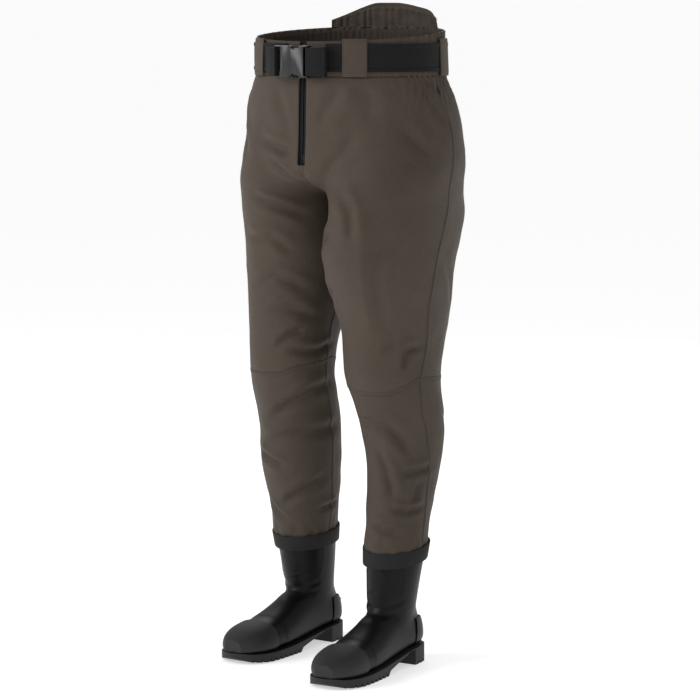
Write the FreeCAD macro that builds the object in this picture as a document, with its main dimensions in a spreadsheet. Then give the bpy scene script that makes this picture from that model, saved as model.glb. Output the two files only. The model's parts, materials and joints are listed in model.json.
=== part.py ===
import FreeCAD, Part
import math
import os
import re

# Waist-high wading trousers on rubber boots, standing with the wearer's left foot forward.
# Millimetres, +Z up. The front faces -Y and the wearer's left is +X. The floor is z = 0.
# The pieces are laid out about the middle of the two ankles, and the last step moves the
# origin to the middle of the whole object's footprint.

Vector = FreeCAD.Vector
Rotation = FreeCAD.Rotation
UP_AXIS = Vector(0, 0, 1)
ACROSS_AXIS = Vector(1, 0, 0)
OVAL_STEPS = 16

SIZES = {
    # Room around everything that a trimming block has to cover.
    "reach": 400,
    # Cloth.
    "cloth_wall": 2,
    "hem_fit": 1.1,
    "knee_height": 497,
    "knee_zone_half": 100,
    "knee_gap": 0.4,
    "left_seam_y": -8,
    "right_seam_y": 0,
    "seat_seam_height": 996,
    # Waist. The top edge rises from the front to the back.
    "waist_top": 1057,
    "waist_slope_angle": 4.8,
    "elastic_wall": 1.6,
    "elastic_width": 30,
    "elastic_drop": 34,
    "elastic_fit": 0.3,
    "back_panel_half_width": 112,
    "back_panel_shoulder": 24,
    "back_panel_rise": 41,
    # Belt and loops.
    "belt_centre_height": 1030,
    "belt_width": 47,
    "belt_wall": 3,
    "belt_gap": 1.4,
    "belt_end_right": -30,
    "belt_end_left": 44,
    "loop_width": 46,
    "loop_wall": 1.6,
    "loop_height": 64,
    "loop_sewn": 6,
    "loop_play": 0.5,
    # Fly.
    "zip_length": 207,
    "zip_tilt": 1.94,
    "fly_gap": 12,
    "tape_width": 16,
    "tape_wall": 1,
    "tape_set_back": 4,
    "tape_split": 2,
    "coil_width": 2.4,
    "coil_depth": 2.2,
    "slider_width": 9,
    "slider_height": 13,
    "slider_plate": 1.5,
    "slider_play": 0.4,
    "slider_rest_drop": 6,
    "slider_bridge": 1.2,
    "crown_width": 2,
    "crown_length": 7,
    "crown_bar": 1.1,
    "crown_hollow": 1.9,
    "pull_width": 7,
    "pull_length": 24,
    "pull_wall": 1.2,
    "pull_eye": 3,
    "pull_play": 0.3,
    "stop_height": 18,
    "gusset_width": 70,
    "gusset_wall": 1.5,
    "gusset_set_back": 11,
    # Side-release buckle.
    "buckle_centre_height": 1023.5,
    "buckle_stand_off": 9,
    "buckle_height": 53,
    "buckle_depth": 13,
    "buckle_wall": 2.4,
    "mouth_x": -28,
    "female_length": 51,
    "female_bar": 3,
    "female_slot": 5,
    "socket_length": 40,
    "window_radius": 11,
    "window_x": -3,
    "window_depth": 7,
    "male_frame_length": 18,
    "male_frame_depth": 7,
    "male_bar": 3,
    "male_root": 5,
    "arm_length": 33,
    "arm_height": 5,
    "arm_pad_length": 12,
    "arm_pad_height": 2,
    "arm_clearance": 0.6,
    "arm_spread": 20,
    "arm_root_gap": 0.4,
    "tongue_length": 26,
    "tongue_height": 8,
    "strap_wall": 2.2,
    "strap_gap": 0.6,
    "strap_left_length": 36,
    "strap_left_angle": 12,
    "strap_right_length": 30,
    "strap_right_angle": -27,
    "keeper_length": 6,
    "keeper_wall": 1.2,
    # Cuffs.
    "cuff_height": 193,
    "cuff_width": 26,
    "cuff_wall": 2,
    "cuff_tilt": 8,
    # Boots.
    "boot_wall": 2.8,
    "shaft_overlap": 14,
    "lining_wall": 1.4,
    "lining_fit": 0.2,
    "lining_bottom": 116,
    "cap_wall": 1.6,
    "cap_start": 152,
    "skin_lift": 0.6,
    "counter_front": 22,
    "counter_top": 78,
    "spur_width": 34,
    "spur_depth": 8,
    "spur_bottom": 52,
    "spur_top": 68,
    "sole_flange": 3.5,
    "insole_wall": 4,
    "sole_seat": 7,
    "sole_fit": 0.9,
    "groove_width": 5,
    "groove_depth": 5,
    "groove_pitch": 14,
    "tread_rib": 16,
    "heel_breast": 12,
    "left_ankle_x": 110,
    "left_ankle_y": -36,
    "left_toe_out": 3,
    "right_ankle_x": -110,
    "right_ankle_y": 36,
    "right_toe_out": 1.6,
    "ankle_height": 109,
    "ankle_half_width": 40,
    "ankle_half_depth": 50,
    "shaft_top_height": 206,
    "left_shaft_lean": 14,
    "left_shaft_half_width": 50,
    "left_shaft_half_depth": 54,
    "right_shaft_lean": -12,
    "right_shaft_half_width": 52,
    "right_shaft_half_depth": 57,
    # Where the footprint's middle lies. Worked out at the end.
    "origin_x": 0,
    "origin_y": 0,
}

# Outlines of the trunk, from the crotch to above the waist. Each name gives five cells:
# height, middle across, middle forward or back, half width and half depth.
TRUNK = {
    "crotch": (806, 2, 5, 150, 117),
    "fork": (830, 3, 8, 185, 146),
    "seat": (850, 4, 10, 198, 155),
    "hip": (875, 4, 10, 199, 154.2),
    "belly": (955, 0, 5, 187, 146.4),
    "waist": (996, 0, 2, 169, 142.1),
    "brim": (1135, 0, 0, 165, 135.4),
}

# Outlines of the legs, from inside the trunk down to just above the cuff.
LEFT_LEG = {
    "left_root": (872, 95, 5, 99, 120),
    "left_groin": (785, 95, 0, 100, 146),
    "left_thigh": (709, 96, -20, 98, 148),
    "left_mid_thigh": (628, 98, -20, 92, 121),
    "left_low_thigh": (554, 100, -14, 82, 101),
    "left_knee": (493, 102, -21, 78, 89),
    "left_calf": (412, 106, 2, 72, 74),
    "left_low_calf": (331, 108, 3, 61, 65),
    "left_shin": (271, 109, -10, 55, 59),
    "left_hem": (232, 110, -19, 52.5, 56.5),
}
RIGHT_LEG = {
    "right_root": (872, -93, 8, 97, 118),
    "right_groin": (785, -94, 12, 96, 143),
    "right_thigh": (709, -96, 10, 94, 130),
    "right_mid_thigh": (628, -99, -2, 84, 108),
    "right_low_thigh": (554, -101, -20, 74, 88),
    "right_knee": (485, -102.5, -25, 71, 76),
    "right_calf": (433, -104, -9, 70, 76),
    "right_low_calf": (371, -105, 2, 68, 74),
    "right_shin": (308, -107, 9, 66, 72),
    "right_hem": (240, -108, 20, 57, 61),
}
LEGS = {"left": LEFT_LEG, "right": RIGHT_LEG}
SIDES = {"left": 1, "right": -1}
RING_CELLS = ("height", "middle_x", "middle_y", "half_width", "half_depth")

# Sections of a boot's foot, from the heel to the toe. Each name gives four cells: distance
# ahead of the ankle, half width, underside and top.
FOOT = {
    "heel_end": (-61, 19, 33, 64),
    "heel_back": (-55, 29, 32, 84),
    "heel_side": (-38, 35, 31, 102),
    "arch": (2, 37, 28, 112),
    "instep": (48, 38, 22, 98),
    "vamp": (95, 42, 18, 77),
    "ball": (140, 45, 16, 64),
    "toes": (180, 43, 16, 57),
    "toe_front": (208, 31, 17, 47),
    "toe_tip": (221, 16, 19, 38),
}
FOOT_CELLS = ("ahead", "half_width", "under", "top")

# The round-cornered section of the foot: across from -1 to 1, up from 0 to 1.
FOOT_SECTION = [
    (0, 0), (0.3, 0), (0.6, 0), (0.84, 0.03), (0.97, 0.15), (1, 0.36), (0.95, 0.58), (0.8, 0.79),
    (0.45, 0.95), (0, 1), (-0.45, 0.95), (-0.8, 0.79), (-0.95, 0.58), (-1, 0.36), (-0.97, 0.15),
    (-0.84, 0.03), (-0.6, 0), (-0.3, 0),
]

# Where each belt loop sits: degrees round the waist from the front, towards the left.
LOOPS = {
    "belt_loop_front_left": 32,
    "belt_loop_front_right": -40,
    "belt_loop_side_left": 103,
    "belt_loop_side_right": -103,
    "belt_loop_back": 180,
}

doc = FreeCAD.newDocument("waders")
sheet = doc.addObject("Spreadsheet::Sheet", "sizes")
nodes = {}


# ---------------------------------------------------------------- the sheet of sizes

def all_sizes():
    """Every named size: the plain ones and the outline cells."""
    sizes = dict(SIZES)
    for table in (TRUNK, LEFT_LEG, RIGHT_LEG):
        for name, values in table.items():
            for cell, value in zip(RING_CELLS, values):
                sizes[name + "_" + cell] = value
    for name, values in FOOT.items():
        for cell, value in zip(FOOT_CELLS, values):
            sizes[name + "_" + cell] = value
    return sizes


def fill_sheet(sizes):
    """Write each size as a plain number beside its name, and give the cell that name."""
    for row, (name, value) in enumerate(sizes.items(), start=1):
        sheet.set("A%d" % row, name)
        sheet.set("B%d" % row, str(value))
        sheet.setAlias("B%d" % row, name)
    doc.recompute()


NAMES = all_sizes()
fill_sheet(NAMES)


def size(name):
    """A size's number, read back from the sheet."""
    return float(sheet.get(name))


def formula(text):
    """Point every size named in the text at its cell."""
    return re.sub(r"[a-z]\w+", lambda word: cell_of(word.group()), str(text))


def cell_of(word):
    return "sizes." + word if word in NAMES else word


# ---------------------------------------------------------------- building blocks

def bind(thing, **formulas):
    """Bind properties to formulas of sizes; two underscores stand for a dot."""
    for name, text in formulas.items():
        thing.setExpression(name.replace("__", "."), formula(text))
    return thing


def place(thing, x, y, z):
    """Bind where a thing sits to three formulas."""
    return bind(thing, Placement__Base__x=x, Placement__Base__y=y, Placement__Base__z=z)


def box(name, low, lengths):
    """A block from its low corner and its lengths, each a formula."""
    block = doc.addObject("Part::Box", name)
    bind(block, Length=lengths[0], Width=lengths[1], Height=lengths[2])
    return place(block, *low)


def cylinder(name, base, radius, height, axis=UP_AXIS):
    """A round bar from the middle of its foot."""
    bar = doc.addObject("Part::Cylinder", name)
    bar.Placement = FreeCAD.Placement(Vector(), Rotation(UP_AXIS, axis))
    bind(bar, Radius=radius, Height=height)
    return place(bar, *base)


def boolean(kind, name, **inputs):
    """A boolean of existing things; its faces are left as they are cut."""
    result = doc.addObject("Part::" + kind, name)
    for role, value in inputs.items():
        setattr(result, role, value)
    result.Refine = False
    return result


def cut(name, base, tool):
    return boolean("Cut", name, Base=base, Tool=tool)


def fuse(name, *pieces):
    return boolean("MultiFuse", name, Shapes=list(pieces))


def common(name, *pieces):
    return boolean("MultiCommon", name, Shapes=list(pieces))


def group(name, pieces):
    result = doc.addObject("Part::Compound", name)
    result.Links = list(pieces)
    return result


def whole(thing):
    """A block that is a sub-part by itself, free to be placed again."""
    return group(thing.Name + "_piece", [thing])


def solid(name, shape):
    """A free-form solid that no primitive makes."""
    feature = doc.addObject("Part::Feature", name)
    feature.Shape = shape
    return feature


def keep(label, thing, x=0, y=0, z=0):
    """Name a finished sub-part and bind its place, counted from the footprint's middle."""
    thing.Label = label
    place(thing, "%s - origin_x" % x, "%s - origin_y" % y, z)
    nodes[label] = thing
    return thing


def oval(middle_x, middle_y, height, half_width, half_depth):
    """A closed oval at one height; either half may be the longer."""
    turns = [2 * math.pi * step / OVAL_STEPS for step in range(OVAL_STEPS)]
    points = [
        Vector(middle_x + half_width * math.sin(turn), middle_y - half_depth * math.cos(turn), height)
        for turn in turns
    ]
    curve = Part.BSplineCurve()
    curve.interpolate(Points=points, PeriodicFlag=True)
    return Part.Wire([curve.toShape()])


def ring_of(name, grow):
    """The sheet's outline of that name, grown outwards by a distance."""
    height, x, y, half_width, half_depth = [size(name + "_" + cell) for cell in RING_CELLS]
    return (x, y, height, half_width + grow, half_depth + grow)


def column(name, rings):
    """A solid that runs smoothly through ovals."""
    return solid(name, Part.makeLoft([oval(*ring) for ring in rings], True, False))


def shaft_ring(side, height, grow):
    """The boot shaft's outer oval at a height, grown by a distance."""
    share = (height - size("ankle_height")) / (size("shaft_top_height") - size("ankle_height"))
    half_width = size("ankle_half_width")
    half_width += share * (size(side + "_shaft_half_width") - half_width)
    half_depth = size("ankle_half_depth")
    half_depth += share * (size(side + "_shaft_half_depth") - half_depth)
    x = size(side + "_ankle_x")
    y = size(side + "_ankle_y") + share * size(side + "_shaft_lean")
    return (x, y, height, half_width + grow, half_depth + grow)


# ---------------------------------------------------------------- trousers

def trunk_column(name, grow, floor_lift=0):
    """The trunk's outer form, grown; the crotch's floor may be lifted."""
    rings = [ring_of(ring, grow) for ring in TRUNK]
    x, y, height, half_width, half_depth = rings[0]
    rings[0] = (x, y, height + floor_lift, half_width, half_depth)
    return column(name, rings)


def waist_column(name, grow):
    """The straight part of the trunk, from under the waistband to above the brim."""
    return column(name, [ring_of("waist", grow), ring_of("brim", grow)])


def leg_column(name, side, grow, end_height):
    """A leg, grown, from inside the trunk down over the boot's shaft."""
    rings = [ring_of(ring, grow) for ring in LEGS[side]]
    over_shaft = grow + size("cloth_wall") + size("hem_fit")
    middle = (size("shaft_top_height") + end_height) / 2
    for height in (size("shaft_top_height"), middle, end_height):
        rings.append(shaft_ring(side, height, over_shaft))
    return column(name, rings)


def waist_point(degrees, grow, height):
    """A point round the waist, and the way it faces, on the cloth grown by a distance."""
    low = ring_of("waist", grow)
    high = ring_of("brim", grow)
    share = (height - low[2]) / (high[2] - low[2])
    x, y, _, half_width, half_depth = [a + share * (b - a) for a, b in zip(low, high)]
    turn = math.radians(degrees)
    point = Vector(x + half_width * math.sin(turn), y - half_depth * math.cos(turn), height)
    facing = math.degrees(math.atan2(half_depth * math.sin(turn), half_width * math.cos(turn)))
    return point, facing


def above_cuff(name, side, offset):
    """A block that reaches up from the cuff's slanted plane, moved along it by a formula."""
    block = box(name, ("-reach", "-reach", "0"), ("2 * reach", "2 * reach", "3 * reach"))
    block.Placement = FreeCAD.Placement(Vector(), Rotation(ACROSS_AXIS, size("cuff_tilt")))
    rise = math.tan(math.radians(size("cuff_tilt")))
    height = "cuff_height + %s - %.6f * reach" % (offset, rise)
    y = "%s_ankle_y + %s_shaft_lean - reach" % (side, side)
    return place(block, "-reach", y, height)


def trousers():
    """Front and back panels, knee cloth and shin panels, cut from one shell."""
    wall = size("cloth_wall")
    end = size("cuff_height") - 2 * size("cuff_width")
    outer = fuse(
        "trousers_outside",
        trunk_column("trunk_outside", 0),
        leg_column("left_leg_outside", "left", 0, end),
        leg_column("right_leg_outside", "right", 0, end),
    )
    trunk_shell = cut("trousers_trunk_shell", outer, trunk_column("trunk_inside", -wall, wall))
    left_shell = cut("trousers_left_shell", trunk_shell,
                     leg_column("left_leg_inside", "left", -wall, end - wall))
    shell = cut("trousers_shell", left_shell,
                leg_column("right_leg_inside", "right", -wall, end - wall))
    fly_slot = box("fly_opening", ("-fly_gap / 2", "-reach", "waist_top - zip_length"),
                   ("fly_gap", "reach", "zip_length + reach"))
    knee_top = "knee_height + knee_zone_half"
    knee_bottom = "knee_height - knee_zone_half"
    zones = {
        "panel": (knee_top, "seat_seam_height - knee_height - knee_zone_half"),
        "knee": (knee_bottom + " + knee_gap", "2 * knee_zone_half - knee_gap"),
        "shin": ("0", knee_bottom),
    }
    for side, sign in SIDES.items():
        seam = side + "_seam_y"
        low_x = "0" if sign > 0 else "-reach"
        above_hem = above_cuff(side + "_hem_plane", side, "0")
        for face, low_y, depth in (("front", "-reach", "reach + " + seam),
                                   ("back", seam, "reach - " + seam)):
            for zone, (low_z, height) in zones.items():
                label = "%s_%s_%s" % (side, face, zone)
                block = box(label + "_block", (low_x, low_y, low_z), ("reach", depth, height))
                cloth = common(label + "_cloth", shell, block)
                if zone == "shin":
                    cloth = common(label + "_hemmed", cloth, above_hem)
                elif label.endswith("front_panel"):
                    cloth = cut(label + "_at_fly", cloth, fly_slot)
                keep(label, cloth)


def waistband():
    """The band in three lengths, the elastic inside it and the raised back panel."""
    wall = size("cloth_wall")
    outside = waist_column("band_outside", 0)
    inside = waist_column("band_inside", -wall)
    ring = cut("band_ring", outside, inside)
    top = box("band_top", ("-reach", "-reach", "0"), ("2 * reach", "3 * reach", "reach"))
    top.Placement = FreeCAD.Placement(Vector(), Rotation(ACROSS_AXIS, size("waist_slope_angle")))
    rise = math.tan(math.radians(size("waist_slope_angle")))
    front = size("waist_half_depth") - size("waist_middle_y")
    place(top, "-reach", "-reach", "waist_top - %.6f * (reach - %.4f)" % (rise, front))
    band = cut("band_cloth", ring, top)
    half_fly = "fly_gap / 2"
    blocks = {
        "waistband_front_left": ((half_fly, "-reach"), ("reach", "reach + left_seam_y")),
        "waistband_front_right": (("-reach - " + half_fly, "-reach"), ("reach", "reach + right_seam_y")),
        "waistband_back_left": (("0", "left_seam_y"), ("reach", "reach")),
        "waistband_back_right": (("-reach", "right_seam_y"), ("reach", "reach")),
    }
    cloth = {}
    for label, (low, lengths) in blocks.items():
        block = box(label + "_block", low + ("seat_seam_height",), lengths + ("reach",))
        cloth[label] = common(label + "_cloth", band, block)
    keep("waistband_front_left", cloth["waistband_front_left"])
    keep("waistband_front_right", cloth["waistband_front_right"])
    keep("waistband_back", fuse("waistband_back_cloth", cloth["waistband_back_left"],
                                cloth["waistband_back_right"]))

    grow = -wall - size("elastic_fit")
    elastic_ring = cut("elastic_ring", waist_column("elastic_outside", grow),
                       waist_column("elastic_inside", grow - size("elastic_wall")))
    length = box("elastic_block", ("-reach", "left_seam_y + 20", "waist_top - elastic_drop"),
                 ("2 * reach", "reach", "elastic_width"))
    keep("waist_elastic", common("waist_elastic_band", elastic_ring, length))

    panel = solid("back_panel_form", back_panel_form())
    keep("back_panel", common("back_panel_cloth", ring, top, panel))


def back_panel_form():
    """The raised panel's front view: straight sides, one arch over the top."""
    half = size("back_panel_half_width")
    foot = size("waist_top")
    rise = math.tan(math.radians(size("waist_slope_angle"))) * 2 * size("waist_half_depth")
    shoulder = foot + rise + size("back_panel_shoulder")
    crown = foot + rise + size("back_panel_rise")
    left_foot = Vector(half, 0, foot)
    left_shoulder = Vector(half * 0.94, 0, shoulder)
    right_shoulder = Vector(-half * 0.94, 0, shoulder)
    right_foot = Vector(-half, 0, foot)
    edges = [
        Part.LineSegment(left_foot, left_shoulder).toShape(),
        Part.Arc(left_shoulder, Vector(0, 0, crown), right_shoulder).toShape(),
        Part.LineSegment(right_shoulder, right_foot).toShape(),
        Part.LineSegment(right_foot, left_foot).toShape(),
    ]
    return Part.Face(Part.Wire(edges)).extrude(Vector(0, size("reach"), 0))


def belt():
    """The webbing round the waist and the loops that hold it."""
    inner = size("belt_gap")
    outer = inner + size("belt_wall")
    ring = cut("belt_ring", waist_column("belt_outside", outer), waist_column("belt_inside", inner))
    width = box("belt_width_block", ("-reach", "-reach", "belt_centre_height - belt_width / 2"),
                ("2 * reach", "2 * reach", "belt_width"))
    gap = box("belt_front_gap", ("belt_end_right", "-reach", "0"),
              ("belt_end_left - belt_end_right", "reach", "4 * reach"))
    keep("belt_webbing", cut("belt_webbing_strip", common("belt_whole", ring, width), gap))

    loop_inner = outer + size("loop_play")
    loop_outer = loop_inner + size("loop_wall")
    form = cut("loop_form", waist_column("loop_outside", loop_outer), waist_column("loop_body", 0))
    hollow = cut("loop_hollow", waist_column("loop_inside", loop_inner),
                 waist_column("loop_core", -size("cloth_wall")))
    hollow_block = box("loop_hollow_block",
                       ("-reach", "-reach", "belt_centre_height - loop_height / 2 + loop_sewn"),
                       ("2 * reach", "2 * reach", "loop_height - 2 * loop_sewn"))
    band = cut("loop_band", form, common("loop_hollow_ring", hollow, hollow_block))
    for label, degrees in LOOPS.items():
        point, facing = waist_point(degrees, 0, size("belt_centre_height"))
        turn = Rotation(UP_AXIS, facing)
        corner = point + turn.multVec(Vector(-size("loop_width") / 2, -20, 0))
        block = box(label + "_block",
                    ("%.4f" % corner.x, "%.4f" % corner.y, "belt_centre_height - loop_height / 2"),
                    ("loop_width", "40", "loop_height"))
        block.Placement.Rotation = turn
        keep(label, common(label + "_cloth", band, block))


# ---------------------------------------------------------------- fly

def fly_place():
    """Where the zip's own frame stands: its top, on the outer face of the cloth."""
    point, _ = waist_point(0, 0, size("waist_top"))
    return point


def keep_on_fly(label, thing):
    """Keep a piece drawn in the zip's frame: x across, y inwards, z up along the tape."""
    point = fly_place()
    thing.Placement = FreeCAD.Placement(Vector(), Rotation(ACROSS_AXIS, -size("zip_tilt")))
    return keep(label, thing, "%.4f" % point.x, "%.4f" % point.y, "waist_top")


def fly():
    """Tapes, coils, stop and gusset, and the slider that runs down them with its pull."""
    for side, low in (("left", "tape_split / 2"), ("right", "-tape_split / 2 - tape_width")):
        tape = box("zip_tape_%s_strip" % side, (low, "tape_set_back", "-zip_length"),
                   ("tape_width", "tape_wall", "zip_length"))
        keep_on_fly("zip_tape_" + side, whole(tape))
    coil_y = "tape_set_back + tape_wall"
    for side, low in (("left", "tape_split / 2"), ("right", "-tape_split / 2 - coil_width")):
        coil = box("zip_coil_%s_strip" % side, (low, coil_y, "-zip_length + stop_height"),
                   ("coil_width", "coil_depth", "zip_length - stop_height"))
        keep_on_fly("zip_coil_" + side, whole(coil))
    stop = box("zip_stop_block", ("-tape_split / 2 - coil_width", coil_y, "-zip_length"),
               ("tape_split + 2 * coil_width", "coil_depth", "stop_height"))
    keep_on_fly("zip_bottom_stop", whole(stop))
    gusset = box("fly_gusset_cloth", ("-gusset_width / 2", "gusset_set_back", "-zip_length"),
                 ("gusset_width", "gusset_wall", "zip_length"))
    keep_on_fly("fly_gusset", whole(gusset))

    plate_y = "tape_set_back - slider_play - slider_plate"
    back_y = "tape_set_back + tape_wall + coil_depth + slider_play"
    low_z = "-slider_rest_drop - slider_height"
    front = box("slider_front", ("-slider_width / 2", plate_y, low_z),
                ("slider_width", "slider_plate", "slider_height"))
    back = box("slider_back", ("-slider_width / 2", back_y, low_z),
               ("slider_width", "slider_plate", "slider_height"))
    bridge = box("slider_bridge_bar",
                 ("-slider_bridge / 2", plate_y, "-slider_rest_drop - slider_height / 2"),
                 ("slider_bridge", "%s + slider_plate - (%s)" % (back_y, plate_y), "slider_height / 2"))
    crown_front = "%s - crown_hollow - crown_bar" % plate_y
    crown_low = "-slider_rest_drop - slider_height / 2 - crown_length / 2"
    arch = box("crown_arch", ("-crown_width / 2", crown_front, crown_low),
               ("crown_width", "crown_hollow + crown_bar", "crown_length"))
    hollow = box("crown_opening",
                 ("-crown_width", "%s + crown_bar" % crown_front, crown_low + " + crown_bar"),
                 ("2 * crown_width", "crown_hollow", "crown_length - 2 * crown_bar"))
    keep_on_fly("zip_slider", fuse("zip_slider_body", front, back, bridge,
                                   cut("slider_crown", arch, hollow)))

    pull_y = "%s + crown_bar + pull_play" % crown_front
    pull_top = "%s + crown_bar + pull_play + pull_eye" % crown_low
    blade = box("pull_blade", ("-pull_width / 2", pull_y, "%s - pull_length" % pull_top),
                ("pull_width", "pull_wall", "pull_length"))
    eye = box("pull_opening", ("-crown_width / 2 - pull_play", "%s - 1" % pull_y,
                               "%s - pull_eye - crown_bar - 2 * pull_play" % pull_top),
              ("crown_width + 2 * pull_play", "pull_wall + 2", "pull_eye + 2 * pull_play"))
    keep_on_fly("zip_pull", cut("zip_pull_tab", blade, eye))


# ---------------------------------------------------------------- buckle

def buckle_front():
    """The y of the buckle's back face, out from the cloth by the stand-off."""
    point, _ = waist_point(0, 0, size("buckle_centre_height"))
    return point.y - size("buckle_stand_off")


def keep_on_buckle(label, thing):
    """Keep a piece drawn in the buckle's frame: x across, y from the back face, z up."""
    return keep(label, thing, 0, "%.4f" % buckle_front(), "buckle_centre_height")


def strap_loop(name, bar_middle, angle, length_name, outwards):
    """Webbing doubled round a buckle's bar and turned about it: two layers and their fold."""
    length = length_name if outwards > 0 else "-" + length_name
    low = "0" if outwards > 0 else "-" + length_name
    layer_gap = "male_bar + 2 * strap_gap"
    total = "2 * strap_wall + " + layer_gap
    outer = box(name + "_layers", (low, "-(%s) / 2" % total, "-belt_width / 2"),
                (length_name, total, "belt_width"))
    open_low = "strap_wall" if outwards > 0 else "-%s - 1" % length_name
    inner = box(name + "_fold", (open_low, "-(%s) / 2" % layer_gap, "-belt_width / 2 - 1"),
                (length_name + " + 1 - strap_wall", layer_gap, "belt_width + 2"))
    strap = cut(name + "_strap", outer, inner)
    to_bar = outwards * (size("strap_wall") + size("strap_gap") + size("male_bar") / 2)
    turn = Rotation(UP_AXIS, angle)
    bar = Vector(bar_middle, -size("buckle_depth") / 2, 0)
    strap.Placement = FreeCAD.Placement(bar - turn.multVec(Vector(to_bar, 0, 0)), turn)
    return strap


def buckle():
    """Female body, male frame with its tongue, and the two sprung arms."""
    half = "buckle_height / 2"
    body = box("female_body", ("mouth_x", "-buckle_depth", "-" + half),
               ("female_length", "buckle_depth", "buckle_height"))
    socket = box("female_socket", ("mouth_x - 1", "-buckle_depth + buckle_wall", "-%s - 1" % half),
                 ("socket_length + 1", "buckle_depth - 2 * buckle_wall", "buckle_height + 2"))
    rails = [
        box("female_rail_" + end, ("window_x + window_radius", "-buckle_depth + buckle_wall", low),
            ("mouth_x + socket_length - window_x - window_radius",
             "buckle_depth - 2 * buckle_wall", "buckle_wall"))
        for end, low in (("top", half + " - buckle_wall"), ("bottom", "-" + half))
    ]
    windows = [
        cylinder("female_window_" + end, ("window_x", "1", low), "window_radius",
                 "buckle_depth + 2", Vector(0, -1, 0))
        for end, low in (("top", half + " + window_radius - window_depth"),
                         ("bottom", "-%s - window_radius + window_depth" % half))
    ]
    slot_x = "mouth_x + female_length - female_bar - female_slot"
    slot_low = "-belt_width / 2 - strap_gap"
    slot_height = "belt_width + 2 * strap_gap"
    slot = box("female_slot_hole", (slot_x, "-buckle_depth - 1", slot_low),
               ("female_slot", "buckle_depth + 2", slot_height))
    reliefs = [
        box("female_relief_" + face, (slot_x, low_y, slot_low),
            ("female_slot + female_bar + 1", "buckle_depth / 2 - male_bar / 2 + 1", slot_height))
        for face, low_y in (("front", "-buckle_depth - 1"), ("back", "-buckle_depth / 2 + male_bar / 2"))
    ]
    hollow = cut("female_hollow", body, socket)
    railed = fuse("female_railed", hollow, *rails)
    keep_on_buckle("buckle_female", cut("buckle_female_body", railed,
                                        group("female_holes", windows + reliefs + [slot])))

    middle = "-buckle_depth / 2 - male_frame_depth / 2"
    frame = box("male_frame", ("mouth_x - arm_root_gap - male_frame_length", middle, "-" + half),
                ("male_frame_length", "male_frame_depth", "buckle_height"))
    hole = box("male_frame_hole", ("mouth_x - arm_root_gap - male_frame_length - 1",
                                   middle + " - 1", slot_low),
               ("male_frame_length - male_root + 1", "male_frame_depth + 2", slot_height))
    bar = box("male_strap_bar", ("mouth_x - arm_root_gap - male_frame_length",
                                 "-buckle_depth / 2 - male_bar / 2", "-" + half),
              ("male_bar", "male_bar", "buckle_height"))
    inner_depth = "buckle_depth - 2 * buckle_wall - 2 * arm_clearance"
    inner_y = "-buckle_depth + buckle_wall + arm_clearance"
    tongue = box("male_tongue", ("mouth_x - 2", inner_y, "-tongue_height / 2"),
                 ("tongue_length + 2", inner_depth, "tongue_height"))
    keep_on_buckle("buckle_male", fuse("buckle_male_body", cut("male_ladder", frame, hole),
                                       bar, tongue))

    for end, low, pad_low in (
            ("upper", "arm_spread - arm_height", "arm_spread"),
            ("lower", "-arm_spread", "-arm_spread - arm_pad_height")):
        shank = box("arm_%s_shank" % end, ("mouth_x", inner_y, low),
                    ("arm_length", inner_depth, "arm_height"))
        pad = box("arm_%s_pad" % end, ("mouth_x + arm_length - arm_pad_length", inner_y, pad_low),
                  ("arm_pad_length", inner_depth, "arm_pad_height"))
        keep_on_buckle("buckle_arm_" + end, fuse("buckle_arm_%s_body" % end, shank, pad))


def straps():
    """The doubled webbing at each end of the buckle, and the keeper round the left one."""
    frame_end = size("mouth_x") - size("arm_root_gap") - size("male_frame_length")
    body_end = size("mouth_x") + size("female_length")
    left = strap_loop("strap_left", body_end - size("female_bar") / 2,
                      size("strap_left_angle"), "strap_left_length", 1)
    right = strap_loop("strap_right", frame_end + size("male_bar") / 2,
                       size("strap_right_angle"), "strap_right_length", -1)
    keep_strap("strap_fold_left", left)
    keep_strap("strap_fold_right", right)
    depth = "2 * strap_wall + male_bar + 2 * strap_gap"
    outer = box("keeper_band", ("strap_left_length - keeper_length",
                                "-(%s) / 2 - keeper_wall" % depth, "-belt_width / 2 - keeper_wall"),
                ("keeper_length", depth + " + 2 * keeper_wall", "belt_width + 2 * keeper_wall"))
    inner = box("keeper_inside", ("strap_left_length - keeper_length - 1", "-(%s) / 2" % depth,
                                  "-belt_width / 2"),
                ("keeper_length + 2", depth, "belt_width"))
    keeper = cut("keeper_loop", outer, inner)
    keeper.Placement = left.Placement
    keep_strap("belt_keeper", keeper)


def keep_strap(label, thing):
    """Keep webbing whose own placement is drawn in the buckle's frame."""
    base = thing.Placement.Base
    return keep(label, thing, "%.4f" % base.x, "%.4f" % (buckle_front() + base.y),
                "buckle_centre_height")


# ---------------------------------------------------------------- boots

def foot_section(name, grow, lift):
    """A foot section, grown sideways and upwards; its underside may be lifted."""
    ahead, half_width, under, top = [size(name + "_" + cell) for cell in FOOT_CELLS]
    bottom = under + lift
    points = [
        Vector(across * (half_width + grow), -ahead, bottom + up * (top + grow - bottom))
        for across, up in FOOT_SECTION
    ]
    curve = Part.BSplineCurve()
    curve.interpolate(Points=points, PeriodicFlag=True)
    return Part.Wire([curve.toShape()])


def foot_form(grow, lift=0):
    """The foot from heel to toe, whose two ends move out as it grows."""
    sections = [foot_section(name, grow, lift) for name in FOOT]
    sections[0].translate(Vector(0, grow, 0))
    sections[-1].translate(Vector(0, -grow, 0))
    return Part.makeLoft(sections, True, False)


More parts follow.
